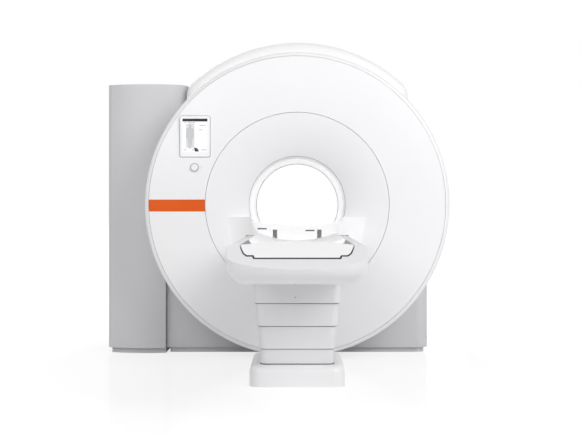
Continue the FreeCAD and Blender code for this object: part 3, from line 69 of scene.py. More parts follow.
def surface(name, light, dark, patch_mm, grain_mm, roughness, swing=0.03, relief_mm=0.05,
            stretch=(1, 1, 1), cells=False, wave_mm=0.0, specks=None, **shader_values):
    """A finish: a colour that drifts in patches, a grain in its relief, and a gloss that drifts.

    cells makes the grain a pebble of cells, a stretch below 1 draws it out along that axis,
    wave_mm adds the long waves of a moulded skin, and specks is the colour of flecks in the grain.
    The real grains are 0.1 to 3 mm across, apart from the zinc spangle. A pixel of the picture is
    about 6 mm of the face, so grain_mm draws them as coarse as they need to show."""
    material = bpy.data.materials.new(name)
    material.use_nodes = True
    tree = material.node_tree
    shader = tree.nodes["Principled BSDF"]
    place = add_node(tree, "ShaderNodeTexCoord").outputs["Object"]
    across = add_node(tree, "ShaderNodeMapping", {"Vector": place, "Scale": stretch}).outputs[0]
    patches = add_node(tree, "ShaderNodeTexNoise", {
        "Vector": across, "Scale": 1 / (patch_mm * MM), "Detail": 3.0}).outputs["Fac"]
    if cells:
        grain = add_node(tree, "ShaderNodeTexVoronoi", {
            "Vector": across, "Scale": 1 / (grain_mm * MM)}).outputs["Distance"]
    else:
        grain = add_node(tree, "ShaderNodeTexNoise", {
            "Vector": across, "Scale": 1 / (grain_mm * MM), "Detail": 2.0}).outputs["Fac"]
    colour = add_node(tree, "ShaderNodeMix", {
        "Factor": patches, "A": linear(dark), "B": linear(light)}, data_type="RGBA").outputs[2]
    if specks:
        fleck = add_node(tree, "ShaderNodeMapRange", {
            "Value": grain, "From Min": FLECK_STARTS, "From Max": FLECK_FULL})
        colour = add_node(tree, "ShaderNodeMix", {
            "Factor": fleck.outputs["Result"], "A": colour, "B": linear(specks)},
            data_type="RGBA").outputs[2]
    tree.links.new(colour, shader.inputs["Base Color"])
    gloss = add_node(tree, "ShaderNodeMapRange", {
        "Value": patches, "To Min": roughness - swing, "To Max": roughness + swing})
    tree.links.new(gloss.outputs["Result"], shader.inputs["Roughness"])
    relief = add_node(tree, "ShaderNodeBump", {
        "Height": grain, "Strength": 1.0, "Distance": relief_mm * MM})
    if wave_mm:
        waves = add_node(tree, "ShaderNodeTexNoise", {
            "Vector": across, "Scale": 1 / (MOULD_WAVE_MM * MM), "Detail": 1.0}).outputs["Fac"]
        swell = add_node(tree, "ShaderNodeBump", {
            "Height": waves, "Strength": 1.0, "Distance": wave_mm * MM})
        tree.links.new(swell.outputs["Normal"], relief.inputs["Normal"])
    tree.links.new(relief.outputs["Normal"], shader.inputs["Normal"])
    for socket, value in shader_values.items():
        shader.inputs[socket.replace("_", " ")].default_value = value
    return material


def dress(material, *nodes):
    """Gives CAD nodes their finish."""
    for name in nodes:
        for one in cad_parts[name].material_slots:
            one.material = material


# Orange peel is 2 to 3 mm across on such paint; here it is 12 mm, so that it just shows.
sprayed_paint = surface(
    "sprayed_polyurethane_paint", "#F5F5F6", "#F1F1F3", patch_mm=420, grain_mm=12,
    roughness=0.36, relief_mm=0.04, wave_mm=0.5, Coat_Weight=0.12, Coat_Roughness=0.15)
dress(sprayed_paint, "front_cover", "front_funnel", "front_rim", "rear_funnel")
# The entry cheeks are smaller mouldings of the same paint, without the mould's waves. Their white
# is raised as painted light: it stands in for light that their sloping fronts miss.
cheek_white_painted_light = surface(
    "sprayed_paint_whitened_as_painted_light", "#FAFAFB", "#F7F7F8", patch_mm=200, grain_mm=10, roughness=0.36,
    relief_mm=0.03, Coat_Weight=0.12, Coat_Roughness=0.15)
dress(cheek_white_painted_light, "entry_wing_left", "entry_wing_right")

# ------------------------------------------------------------------ orange strip
# A polycarbonate film printed on its back, glued into a recess of the outer ring and bare of
# words. It is an even warm orange, duller than the paint round it.
printed_film = surface(
    "printed_polycarbonate_film", "#E76018", "#E25B14", patch_mm=160, grain_mm=8,
    roughness=0.45, relief_mm=0.02, Specular_IOR_Level=0.2)
dress(printed_film, "stripe_inlay")

# ------------------------------------------------------------------ tunnel lining
# The liner tube, its two end collars and the grooved beam are glass fibre laid up in a polished
# mould, so their gel coat is smoother than the sprayed covers and a little brighter.
gel_coat_lining = surface(
    "gel_coated_lining", "#F6F6F7", "#F2F2F4", patch_mm=300, grain_mm=10, roughness=0.30,
    relief_mm=0.02, wave_mm=0.3, Coat_Weight=0.2, Coat_Roughness=0.15)
dress(gel_coat_lining, "front_collar", "rear_collar", "bore_liner", "bore_bridge")

# Dull grey sponge seals close the joints at the tunnel's mouth and at the end of the liner tube.
# They run over the top and stop at both sides of the grooved beam.
sponge_seal = surface(
    "grey_sponge_seal", "#C2C3C5", "#B6B7BA", patch_mm=30, grain_mm=3, roughness=0.7,
    relief_mm=0.06)
BORE_HEIGHT, SEAL_WIDE = 1.0, 0.006
SEAL_START, SEAL_END = -32, 212      # degrees round the tunnel, from its right side
SEAL_STEPS, SEAL_BENDS = 96, 8
CRISP_FROM = 32                      # degrees that an edge bends before it looks sharp


def keep_piece(name, build, body, material):
    """Makes a piece of a bmesh: it rides on a body and takes the given finish."""
    bmesh.ops.recalc_face_normals(build, faces=build.faces)
    mesh = bpy.data.meshes.new(name)
    build.to_mesh(mesh)
    build.free()
    for polygon in mesh.polygons:
        polygon.use_smooth = True
    mesh.set_sharp_from_angle(angle=math.radians(CRISP_FROM))
    mesh.materials.append(material)
    piece = bpy.data.objects.new(name, mesh)
    bpy.context.scene.collection.objects.link(piece)
    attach(piece, body)


def add_band(build, rings, closed):
    """Joins equal rings of points into a strip; the ends are capped where it isn't closed."""
    rows = [[build.verts.new(point) for point in ring] for ring in rings]
    count = len(rows[0])
    for here, there in zip(rows, rows[1:] + rows[:1] if closed else rows[1:]):
        for step in range(count):
            build.faces.new((here[step - 1], here[step], there[step], there[step - 1]))
    if not closed:
        build.faces.new(rows[0])
        build.faces.new(rows[-1])


def tunnel_seal(name, joint_y, outer, inner):
    """A seal of half-round section along an arc of the tunnel."""
    build = bmesh.new()
    rings = []
    for step in range(SEAL_STEPS + 1):
        angle = math.radians(SEAL_START + (SEAL_END - SEAL_START) * step / SEAL_STEPS)
        ring = []
        for bend in range(SEAL_BENDS + 1):
            lean = math.pi * bend / SEAL_BENDS
            reach = outer - (outer - inner) * math.sin(lean)
            ring.append((reach * math.cos(angle), joint_y - SEAL_WIDE / 2 * math.cos(lean),
                         BORE_HEIGHT + reach * math.sin(angle)))
        rings.append(ring)
    add_band(build, rings, closed=False)
    keep_piece(name, build, "magnet", sponge_seal)


tunnel_seal("tunnel_mouth_seal", joint_y=-0.6274, outer=0.3130, inner=0.3098)
tunnel_seal("tunnel_end_seal", joint_y=0.5088, outer=0.3002, inner=0.2972)

# ------------------------------------------------------------------ casing and drum
# Vacuum-formed shells round the magnet, painted satin white: the drum behind the face, two sides,
# a top and the flat rear cover. Their white is raised close to pure white as painted light, so the
# shells set back behind the face show as bright as if more light fell on them.
satin_white_painted_light = surface(
    "satin_shell_painted_light", "#FEFEFE", "#FBFBFC", patch_mm=500, grain_mm=14, roughness=0.42,
    relief_mm=0.05, wave_mm=0.6)
dress(satin_white_painted_light, "front_drum", "casing_left", "casing_right", "casing_top", "rear_cover")

# Quarter-turn studs hold the shells along their rear edge. Each is a steel button with a hexagon
# socket, turned on a lathe and pressed into the shell. Its zinc plating is a half-bright silver.
zinc_stud = surface(
    "zinc_plated_stud", "#C4C6C9", "#AEB1B5", patch_mm=6, grain_mm=2, roughness=0.32,
    relief_mm=0.01, Metallic=1.0)
STUD_RADIUS, STUD_HEIGHT, STUD_SUNK, STUD_Y = 0.009, 0.0035, 0.0005, 0.688
SIDE_STUD_HEIGHTS = (0.72, 0.96, 1.20, 1.44, 1.60)
TOP_STUD_PLACES = (-0.60, -0.40, -0.20, 0.20, 0.40, 0.60)
TOP_SHELL_FROM = 1.5
CLEAR_RIGHT, CLEAR_ABOVE = 2, 3      # places outside the machine, to look in from
TURNED_STEPS = 24
# A head's outline from its foot up and down into its socket, in shares of its radius and height.
HEAD_OUTLINE = [(0.94, 0), (1, 0.12), (1, 0.6), (0.86, 1), (0.52, 1, "hex"), (0.52, 0.35, "hex")]


def add_turned(build, profile, centre, axis):
    """Adds a turned shape from (radius, height) along the axis; "hex" makes a ring six-sided."""
    aim = Vector((0, 0, 1)).rotation_difference(Vector(axis))
    rings = []
    for radius, height, *shape in profile:
        ring = []
        for step in range(TURNED_STEPS):
            angle = math.tau * step / TURNED_STEPS
            reach = radius
            if shape:
                reach *= math.cos(math.pi / 6) / math.cos(angle % (math.pi / 3) - math.pi / 6)
            spot = Vector((reach * math.cos(angle), reach * math.sin(angle), height))
            ring.append(Vector(centre) + aim @ spot)
        rings.append(ring)
    add_band(build, rings, closed=False)


def socket_screw(name, centre, axis, radius, height, body, material):
    """A round head with a hexagon socket, its foot at centre and its top along the axis."""
    build = bmesh.new()
    add_turned(build, [(radius * wide, height * rise, *shape)
                       for wide, rise, *shape in HEAD_OUTLINE], centre, axis)
    keep_piece(name, build, body, material)


def shell_stud(name, node, start, way, radius=STUD_RADIUS, height=STUD_HEIGHT):
    """A stud where a line from outside meets a shell."""
    met, spot, outward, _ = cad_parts[node].ray_cast(Vector(start), Vector(way))
    assert met, name
    socket_screw(name, spot - outward * STUD_SUNK, outward, radius, height, "magnet",
                 zinc_stud)


for number, height in enumerate(SIDE_STUD_HEIGHTS, 1):
    shell = "casing_right" if height < TOP_SHELL_FROM else "casing_top"
    shell_stud(f"side_stud_{number}", shell, (CLEAR_RIGHT, STUD_Y, height), (-1, 0, 0))
for number, across in enumerate(TOP_STUD_PLACES, 1):
    shell_stud(f"top_stud_{number}", "casing_top", (across, STUD_Y, CLEAR_ABOVE), (0, 0, -1))

# ------------------------------------------------------------------ grey cabinet and base box
# Folded steel sheet with a fine-textured grey powder coat, the cabinet's rear panel too. The
# coat's pebble is under 1 mm and is drawn at 7 mm, so that it breaks up the gloss.
powder_coat = surface(
    "powder_coated_steel", "#D6D6D8", "#D1D1D3", patch_mm=350, grain_mm=7, roughness=0.5,
    relief_mm=0.12, cells=True)
dress(powder_coat, "cabinet_shell", "cabinet_door", "base_cover")

# Flat screws hold the base box's right side panel at its corners, plated like the studs.
BASE_SCREW_RADIUS, BASE_SCREW_HEIGHT = 0.006, 0.0025
BASE_SCREW_PLACES = [(-0.17, 0.10), (-0.17, 0.60), (0.66, 0.10), (0.66, 0.60)]
for number, (along, height) in enumerate(BASE_SCREW_PLACES, 1):
    shell_stud(f"base_screw_{number}", "base_cover", (CLEAR_RIGHT, along, height), (-1, 0, 0),
               BASE_SCREW_RADIUS, BASE_SCREW_HEIGHT)

# The toe frames set back under both boxes are grey moulded plastic, dull from its texture.
toe_plastic = surface(
    "textured_toe_plastic", "#D6D6D8", "#CFCFD1", patch_mm=200, grain_mm=5, roughness=0.65,
    relief_mm=0.1)
dress(toe_plastic, "base_plinth", "cabinet_plinth")

# ------------------------------------------------------------------ cabinet's rear panel
# The cabinet's back is a steel panel that lifts off once its quarter-turn studs are undone. A
# welded wire guard covers the fan's opening in it, with its spokes across the rings.
PANEL_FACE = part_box("cabinet_door")[1].y
PANEL_STUDS = ([(-1.255, height) for height in (0.12, 0.55, 0.98, 1.38, 1.77)]
               + [(-0.772, height) for height in (0.70, 1.06, 1.42, 1.77)]
               + [(-0.908, height) for height in (0.12, 0.56)])
for number, (across, height) in enumerate(PANEL_STUDS, 1):
    socket_screw(f"rear_panel_stud_{number}", (across, PANEL_FACE - STUD_SUNK, height),
                 (0, 1, 0), STUD_RADIUS, STUD_HEIGHT, "magnet", zinc_stud)

FAN_X, FAN_Z = -1.08165, 1.60
WIRE_RADIUS, WIRE_STEPS = 0.0015, 8
GUARD_RINGS, RING_STEPS = (0.040, 0.062, 0.084, 0.106), 48
SPOKE_ENDS, SPOKE_RISE = (0.034, 0.126), 2.6 * WIRE_RADIUS
SPOKE_ANGLES = [math.radians(45 + 90 * turn) for turn in range(4)]
GUARD_SCREW_REACH, GUARD_SCREW_RADIUS, GUARD_SCREW_HEIGHT = 0.124, 0.0055, 0.0075


def add_wire(build, points, closed):
    """Adds a round wire along points that lie in a plane across Y."""
    rings = []
    count = len(points)
    turns = [math.tau * step / WIRE_STEPS for step in range(WIRE_STEPS)]
    for place in range(count):
        before = points[place - 1] if closed or place else points[place]
        after = points[(place + 1) % count] if closed or place < count - 1 else points[place]
        along = (Vector(after) - Vector(before)).normalized()
        across = along.cross(Vector((0, 1, 0)))
        rings.append([Vector(points[place]) + WIRE_RADIUS * (
            across * math.cos(turn) + Vector((0, math.sin(turn), 0))) for turn in turns])
    add_band(build, rings, closed)


def guard_point(reach, angle, rise):
    """A point of the guard, measured from the fan's axis and the panel's face."""
    return (FAN_X + reach * math.cos(angle), PANEL_FACE + rise, FAN_Z + reach * math.sin(angle))


build = bmesh.new()
for reach in GUARD_RINGS:
    add_wire(build, [guard_point(reach, math.tau * step / RING_STEPS, WIRE_RADIUS)
                     for step in range(RING_STEPS)], closed=True)
for angle in SPOKE_ANGLES:
    add_wire(build, [guard_point(reach, angle, SPOKE_RISE) for reach in SPOKE_ENDS], closed=False)
keep_piece("fan_wire_guard", build, "magnet", zinc_stud)
for number, angle in enumerate(SPOKE_ANGLES, 1):
    socket_screw(f"fan_guard_screw_{number}", guard_point(GUARD_SCREW_REACH, angle, 0),
                 (0, 1, 0), GUARD_SCREW_RADIUS, GUARD_SCREW_HEIGHT, "magnet",
                 zinc_stud)

# ------------------------------------------------------------------ inside the cabinet
# Amplifiers slide into a zinc-plated steel rack, whose plating shows a spangle of dull and bright
# cells. The black fan behind the rear panel is glass-filled nylon, flecked by its fibres.
zinc_plate = surface(
    "zinc_plated_steel", "#BFC1C4", "#A6A8AC", patch_mm=22, grain_mm=14, roughness=0.38,
    swing=0.08, relief_mm=0.02, cells=True, Metallic=1.0)
dress(zinc_plate, "cabinet_rack", "actuator_housing")
# The amplifiers and the table's motor are dark anodised, brushed along their width.
dark_anodised = surface(
    "dark_anodised_front", "#4A4C50", "#404246", patch_mm=120, grain_mm=3, roughness=0.42,
    relief_mm=0.03, stretch=(0.05, 1, 1), Metallic=0.6)
dress(dark_anodised, "power_units", "drive_motor")
filled_nylon = surface(
    "glass_filled_nylon", "#1D1D1E", "#141415", patch_mm=40, grain_mm=3, roughness=0.58,
    relief_mm=0.08, specks="#2A2A2C")
dress(filled_nylon, "cooling_fan")

# ------------------------------------------------------------------ magnet
# The welded steel vessel is primed a dull white, the coils inside it are cast in pale amber
# epoxy, and the ring plate that the covers hang on is cast aluminium. Covers hide all of it.
vessel_primer = surface(
    "primed_vessel_steel", "#DADADB", "#CFCFD1", patch_mm=260, grain_mm=9, roughness=0.5,
    relief_mm=0.15)
dress(vessel_primer, "vacuum_vessel")
# The cold head is stainless steel, brushed upright.
brushed_steel = surface(
    "brushed_stainless_steel", "#C9CACC", "#BBBDBF", patch_mm=60, grain_mm=4, roughness=0.32,
    relief_mm=0.03, stretch=(1, 1, 0.05), Metallic=1.0)
dress(brushed_steel, "cold_head")
cast_resin = surface(
    "cast_epoxy_resin", "#D9CFA8", "#C9BD92", patch_mm=150, grain_mm=6, roughness=0.5,
    relief_mm=0.1)
dress(cast_resin, "gradient_coil", "body_coil")
# A sand mould leaves the castings rough and their metal dull.
cast_aluminium = surface(
    "sand_cast_aluminium", "#C9CACC", "#B8BABD", patch_mm=80, grain_mm=4, roughness=0.48,
    swing=0.06, relief_mm=0.2, Metallic=1.0)
dress(cast_aluminium, "cover_carrier", "belt_clamp", "drive_pulley", "idler_pulley")
# The welded frames under the magnet and in the table have a half-gloss dark grey enamel.
frame_enamel = surface(
    "grey_enamelled_steel", "#6A6D72", "#5F6267", patch_mm=120, grain_mm=6, roughness=0.45,
    relief_mm=0.1)
dress(frame_enamel, "base_frame", "table_base_plate", "deck_frame")

# ------------------------------------------------------------------ display
# An upright touch screen in a moulded white frame, set into the outer ring. The lit panel shows a
# plain layout: a dark bar, a standing figure on a pale strip, short rows of marks, a small dial.
frame_plastic = surface(
    "moulded_display_frame", "#FBFBFC", "#F6F6F8", patch_mm=90, grain_mm=4, roughness=0.38,
    relief_mm=0.04)
dress(frame_plastic, "display_bezel")
# A dull grey ring shaped as a gasket fills the gap between the frame and the outer ring. Its grey
# is painted shadow: it stands in for the shade round the raised frame.
bezel_painted_shadow = surface(
    "grey_painted_shadow_ring", "#9A9B9E", "#8E8F92", patch_mm=20, grain_mm=3, roughness=0.6,
    relief_mm=0.04)
BEZEL_LOW, BEZEL_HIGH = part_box("display_bezel")
BEZEL_CORNER, CORNER_STEPS = 0.012, 6
SHADOW_RING_WIDE, SHADOW_RING_FRONT, SHADOW_RING_BACK = 0.003, -0.7246, -0.7205
SHADOW_RING_CHAMFER, SHADOW_RING_GAP = 0.0006, 0.0001


def rounded_corners(low, high, corner):
    """Flat points round a rectangle with rounded corners, from its right side."""
    points = []
    for quarter, (across, up) in enumerate([(high[0] - corner, high[1] - corner),
                                            (low[0] + corner, high[1] - corner),
                                            (low[0] + corner, low[1] + corner),
                                            (high[0] - corner, low[1] + corner)]):
        for step in range(CORNER_STEPS + 1):
            angle = math.radians(90 * quarter + 90 * step / CORNER_STEPS)
            points.append((across + corner * math.cos(angle), up + corner * math.sin(angle)))
    return points


build = bmesh.new()
loops = []
for grow, y in ((SHADOW_RING_WIDE, SHADOW_RING_BACK), (SHADOW_RING_WIDE, SHADOW_RING_FRONT + SHADOW_RING_CHAMFER),
                (SHADOW_RING_WIDE - SHADOW_RING_CHAMFER, SHADOW_RING_FRONT), (SHADOW_RING_GAP, SHADOW_RING_FRONT),
                (SHADOW_RING_GAP, SHADOW_RING_BACK)):
    loops.append([(x, y, z) for x, z in rounded_corners(
        (BEZEL_LOW.x - grow, BEZEL_LOW.z - grow), (BEZEL_HIGH.x + grow, BEZEL_HIGH.z + grow),
        BEZEL_CORNER + grow)])
add_band(build, list(zip(*loops)), closed=True)
keep_piece("display_painted_shadow_ring", build, "magnet", bezel_painted_shadow)

# The glass is smooth under a hard clear coat, and the panel behind it glows a little.
lit_panel = surface(
    "lit_screen_glass", "#FAFBFC", "#F5F7F9", patch_mm=90, grain_mm=3, roughness=0.12,
    swing=0.02, relief_mm=0.002, Coat_Weight=0.6, Coat_Roughness=0.03,
    Emission_Color=(1.0, 1.0, 1.0, 1.0), Emission_Strength=0.12)
dress(lit_panel, "display_glass")
GLASS_LOW, GLASS_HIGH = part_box("display_glass")
PRINT_THICK = 0.2 * MM


def flat_plate(name, outline, face_y, thickness, material):
    """A thin upright plate on the magnet, from (x, z) corners, with its back at face_y."""
    build = bmesh.new()
    sheet = build.faces.new([build.verts.new((x, face_y, z)) for x, z in outline])
    out = bmesh.ops.extrude_face_region(build, geom=[sheet])
    for item in out["geom"]:
        if isinstance(item, bmesh.types.BMVert):
            item.co.y -= thickness
    keep_piece(name, build, "magnet", material)


def on_screen(across, down):
    """A point of the screen from shares of its width and height, measured from the top left."""
    return (GLASS_LOW.x + across * (GLASS_HIGH.x - GLASS_LOW.x),
            GLASS_HIGH.z - down * (GLASS_HIGH.z - GLASS_LOW.z))


def screen_box(left, top, wide, high):
    """The corners of a rectangle on the screen."""
    return [on_screen(left, top), on_screen(left + wide, top),
            on_screen(left + wide, top + high), on_screen(left, top + high)]


def screen_ink(name, light, dark):
    """A colour of the lit picture, under the same glass."""
    return surface(name, light, dark, patch_mm=40, grain_mm=3, roughness=0.15, swing=0.02,
                   relief_mm=0.002)


def screen_patch(name, outline, ink, layer=0):
    """A patch of the picture on the glass, or on another patch where layer is 1."""
    flat_plate(name, outline, GLASS_LOW.y - layer * PRINT_THICK, PRINT_THICK, ink)


black_ink = screen_ink("screen_black", "#111214", "#0B0C0E")
dark_ink = screen_ink("screen_charcoal", "#3A3D42", "#303338")
pale_ink = screen_ink("screen_pale_strip", "#E6E6E8", "#E0E0E2")
figure_ink = screen_ink("screen_figure", "#CFD0D2", "#C8C9CB")
mark_ink = screen_ink("screen_marks", "#B9BBBE", "#AFB1B5")

# A bar across the top, a couch strip on the left, and on it a figure in one outline.
HEADER_BAR, COUCH_STRIP = (0.0, 0.0, 1.0, 0.085), (0.14, 0.15, 0.34, 0.72)
screen_patch("screen_header_bar", screen_box(*HEADER_BAR), black_ink)
screen_patch("screen_couch_strip", screen_box(*COUCH_STRIP), pale_ink)
FIGURE_HALF = [(0.0, 0.0), (0.034, 0.008), (0.050, 0.03), (0.050, 0.062), (0.036, 0.088),
               (0.060, 0.105), (0.122, 0.122), (0.146, 0.155), (0.154, 0.24), (0.158, 0.40),
               (0.140, 0.42), (0.122, 0.40), (0.100, 0.46), (0.074, 0.58), (0.050, 0.73),
               (0.014, 0.735), (0.006, 0.55)]
FIGURE_ACROSS, FIGURE_TOP = 0.30, 0.165
figure = ([on_screen(FIGURE_ACROSS + x, FIGURE_TOP + y) for x, y in FIGURE_HALF]
          + [on_screen(FIGURE_ACROSS - x, FIGURE_TOP + y) for x, y in FIGURE_HALF[:0:-1]])
screen_patch("screen_standing_figure", figure, figure_ink, layer=1)

# Rows of marks, each (left, top, width), stand for readings.
MARKS = [(0.06, 0.11, 0.10), (0.22, 0.11, 0.30), (0.68, 0.19, 0.24), (0.66, 0.325, 0.14),
         (0.04, 0.925, 0.12), (0.38, 0.925, 0.08), (0.76, 0.925, 0.20)]
MARK_HIGH = 0.022
for number, (left, top, wide) in enumerate(MARKS, 1):
    screen_patch(f"screen_mark_{number}", screen_box(left, top, wide, MARK_HIGH), mark_ink)

# A quarter circle at the lower edge shows the table's angle.
ARC_ACROSS, ARC_DOWN, ARC_WIDE, ARC_HIGH = 0.50, 0.985, 0.15, 0.115
arc_shape = [on_screen(ARC_ACROSS, ARC_DOWN)] + [
    on_screen(ARC_ACROSS + ARC_WIDE * math.cos(math.radians(angle)),
              ARC_DOWN - ARC_HIGH * math.sin(math.radians(angle)))
    for angle in range(0, 106, 15)]
screen_patch("screen_quarter_fan", arc_shape, dark_ink)

# ------------------------------------------------------------------ control dial
# A knob that turns and presses, in a raised ring under the display. The cap is white moulded ABS
# on a turned steel stem. The moulded ring round it is light grey as painted shade: its grey stands
# in for the shadow in the gap round the cap.
knob_white = surface(
    "moulded_knob", "#F4F4F5", "#EEEEF0", patch_mm=30, grain_mm=3, roughness=0.34,
    relief_mm=0.03)
dress(knob_white, "dial_cap")
ring_grey_painted_shade = surface(
    "dial_ring_painted_shade", "#C4C5C8", "#BBBCBF", patch_mm=30, grain_mm=3, roughness=0.4,
    relief_mm=0.03)
dress(ring_grey_painted_shade, "dial_ring")
turned_steel = surface(
    "turned_steel", "#C8C9CB", "#B5B6B9", patch_mm=20, grain_mm=1, roughness=0.25,
    relief_mm=0.01, Metallic=1.0)
dress(turned_steel, "dial_stem")

# Three small printed ticks beside the ring mark the dial's way of turning. Each is (rise above
# the dial's axis, width).
DIAL_HEIGHT, COVER_FACE = 1.236, -0.7230
TICKS = [(0.017, 0.003), (0.0, 0.005), (-0.017, 0.003)]
TICK_X, TICK_HALF_HIGH, TICK_THICK = -0.618, 0.002, 0.4 * MM
for number, (rise, wide) in enumerate(TICKS, 1):
    low, high = DIAL_HEIGHT + rise - TICK_HALF_HIGH, DIAL_HEIGHT + rise + TICK_HALF_HIGH
    flat_plate(f"dial_tick_{number}", [(TICK_X, low), (TICK_X + wide, low),
                                       (TICK_X + wide, high), (TICK_X, high)],
               COVER_FACE, TICK_THICK, mark_ink)

# ------------------------------------------------------------------ patient table
# The deck, the floor plinth and the tabletop's end are glass fibre with a soft-gloss gel coat. The
# deck's is greyer as painted shade, which darkens its front and bowed end as if less light fell on
# them. The deck's bowed end slopes up to the tabletop.
gel_coat_deck_painted_shade = surface(
    "gel_coated_deck_painted_shade", "#DFDFE1", "#DBDBDD", patch_mm=350, grain_mm=12, roughness=0.36,
    relief_mm=0.02, Coat_Weight=0.15, Coat_Roughness=0.3)
dress(gel_coat_deck_painted_shade, "deck_hull")
gel_coat_white = surface(
    "gel_coated_white", "#F0F0F1", "#EBEBEC", patch_mm=250, grain_mm=12, roughness=0.36,
    relief_mm=0.02, Coat_Weight=0.15, Coat_Roughness=0.3)
dress(gel_coat_white, "table_plinth", "tabletop_nose")

# The four skirts, the deck's far end cover and the floor duct are moulded ABS with a satin
# spark-eroded texture.
satin_abs = surface(
    "satin_moulded_abs", "#E5E5E7", "#DFDFE1", patch_mm=180, grain_mm=8, roughness=0.42,
    relief_mm=0.06, cells=True)
dress(satin_abs, "skirt_1", "skirt_2", "skirt_3", "skirt_4", "cable_duct", "deck_end_cover")

# A dull black strip shaped as a rubber lip stands inside the lower edge of each sliding skirt, and
# a bead of the same black runs round the lowest skirt's foot on the floor plinth. Both are painted
# shadow: they stand in for the shade under each skirt's edge and at the skirt's foot.
rubber_and_painted_shadow = surface(
    "extruded_rubber_and_painted_shadow", "#1A1A1B", "#111112", patch_mm=50, grain_mm=4, roughness=0.68,
    relief_mm=0.08)
SKIRT_CENTRE_Y = -1.625
SHADOW_LIP_CORNER, SHADOW_LIP_THICK, SHADOW_LIP_SHOWS, SHADOW_LIP_RISE = 0.035, 0.0018, 0.0028, 0.005
PLINTH_TOP, SHADOW_BEAD_HIGH = 0.1181, 0.004


def painted_shadow_strip(name, body, half_wide, half_long, corner, thick, low, high):
    """A strip of black painted shadow that follows a skirt, from its outer face inwards."""
    build = bmesh.new()
    loops = []
    for inset, height in ((0, low), (0, high), (thick, high), (thick, low)):
        wide, long = half_wide - inset, half_long - inset
        loops.append([(x, y, height) for x, y in rounded_corners(
            (-wide, SKIRT_CENTRE_Y - long), (wide, SKIRT_CENTRE_Y + long), corner - inset)])
    add_band(build, list(zip(*loops)), closed=True)
    keep_piece(name, build, body, rubber_and_painted_shadow)


for name, body, half_wide, half_long, edge in (
        ("skirt_1_painted_shadow_lip", "deck", 0.2316, 0.3546, 0.456),
        ("skirt_2_painted_shadow_lip", "skirt_two", 0.2175, 0.3405, 0.330),
        ("skirt_3_painted_shadow_lip", "skirt_three", 0.2048, 0.3278, 0.204)):
    painted_shadow_strip(name, body, half_wide, half_long, SHADOW_LIP_CORNER, SHADOW_LIP_THICK, edge - SHADOW_LIP_SHOWS,
              edge + SHADOW_LIP_RISE)
painted_shadow_strip("skirt_4_painted_shadow_bead", "magnet", half_wide=0.2040, half_long=0.3270, corner=0.0405,
          thick=0.0026, low=PLINTH_TOP, high=PLINTH_TOP + SHADOW_BEAD_HIGH)

# Two cap screws, dark and dull from their black oxide, sit in the holes down the top skirt's
# front, level with its face. Each face is met just above its hole.
black_oxide = surface(
    "black_oxide_steel", "#232325", "#1A1A1C", patch_mm=5, grain_mm=1, roughness=0.4,
    relief_mm=0.01, Metallic=0.5)
CAP_SCREW_X, CAP_SCREW_RADIUS, CAP_SCREW_HEIGHT, CAP_SCREW_SUNK = -0.010, 0.0027, 0.0042, 0.004
ABOVE_HOLE, CLEAR_IN_FRONT = 0.005, -4
for name, height in (("upper", 0.559), ("lower", 0.487)):
    met, spot, outward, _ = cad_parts["skirt_1"].ray_cast(
        Vector((CAP_SCREW_X, CLEAR_IN_FRONT, height + ABOVE_HOLE)), Vector((0, 1, 0)))
    assert met, name
    foot_y = spot.y - ABOVE_HOLE * outward.z + CAP_SCREW_SUNK
    socket_screw(f"skirt_screw_{name}", (CAP_SCREW_X, foot_y, height), (0, -1, 0),
                 CAP_SCREW_RADIUS, CAP_SCREW_HEIGHT, "deck", black_oxide)

# The tabletop is a foam-cored laminate with a fine pebbled skin. The console on it is moulded in
# a glossier white.
laminate = surface(
    "pebbled_laminate", "#F5F5F6", "#EFEFF1", patch_mm=240, grain_mm=9, roughness=0.4,
    relief_mm=0.15, cells=True)
dress(laminate, "tabletop")
console_plastic = surface(
    "moulded_console", "#FAFAFA", "#F6F6F7", patch_mm=120, grain_mm=6, roughness=0.3,
    relief_mm=0.03, Coat_Weight=0.2, Coat_Roughness=0.1)
dress(console_plastic, "coil_console")

# Each console slot takes a coil plug. It has a dull grey moulded liner with a block at its back,
# and a row of bright plated contact blades that stand out of the block.
liner_plastic = surface(
    "moulded_socket_liner", "#9A9CA0", "#909296", patch_mm=12, grain_mm=2, roughness=0.5,
    relief_mm=0.02)
nickel = surface(
    "nickel_plated_contact", "#D2CFC6", "#C3C0B6", patch_mm=4, grain_mm=1, roughness=0.25,
    relief_mm=0.005, Metallic=1.0)
SLOT_HALF_WIDE, SLOT_HALF_HIGH = 0.027, 0.004
LINER_FRONT, LINER_BACK, LINER_GAP, LINER_WALL = -1.3744, -1.3454, 0.0002, 0.0008
BLOCK_FRONT, BLOCK_BACK, BLOCK_INSET, BLOCK_ROUND = -1.3604, -1.3455, 0.0009, 0.0003
BLADES, BLADE_PITCH, BLADE_FRONT, BLADE_BACK = 11, 0.0044, -1.3704, -1.3594
BLADE_HALF_WIDE, BLADE_HALF_HIGH, BLADE_ROUND = 0.0006, 0.0012, 0.0002


def add_block(build, low, high, rounding):
    """Adds a box from corner to corner with rounded edges."""
    low, high = Vector(low), Vector(high)
    made = bmesh.ops.create_cube(build, size=1.0)["verts"]
    for vert in made:
        vert.co = (low + high) / 2 + vert.co * (high - low)
    edges = list({edge for vert in made for edge in vert.link_edges})
    bmesh.ops.bevel(build, geom=edges, offset=rounding, segments=3, profile=0.5,
                    affect="EDGES")


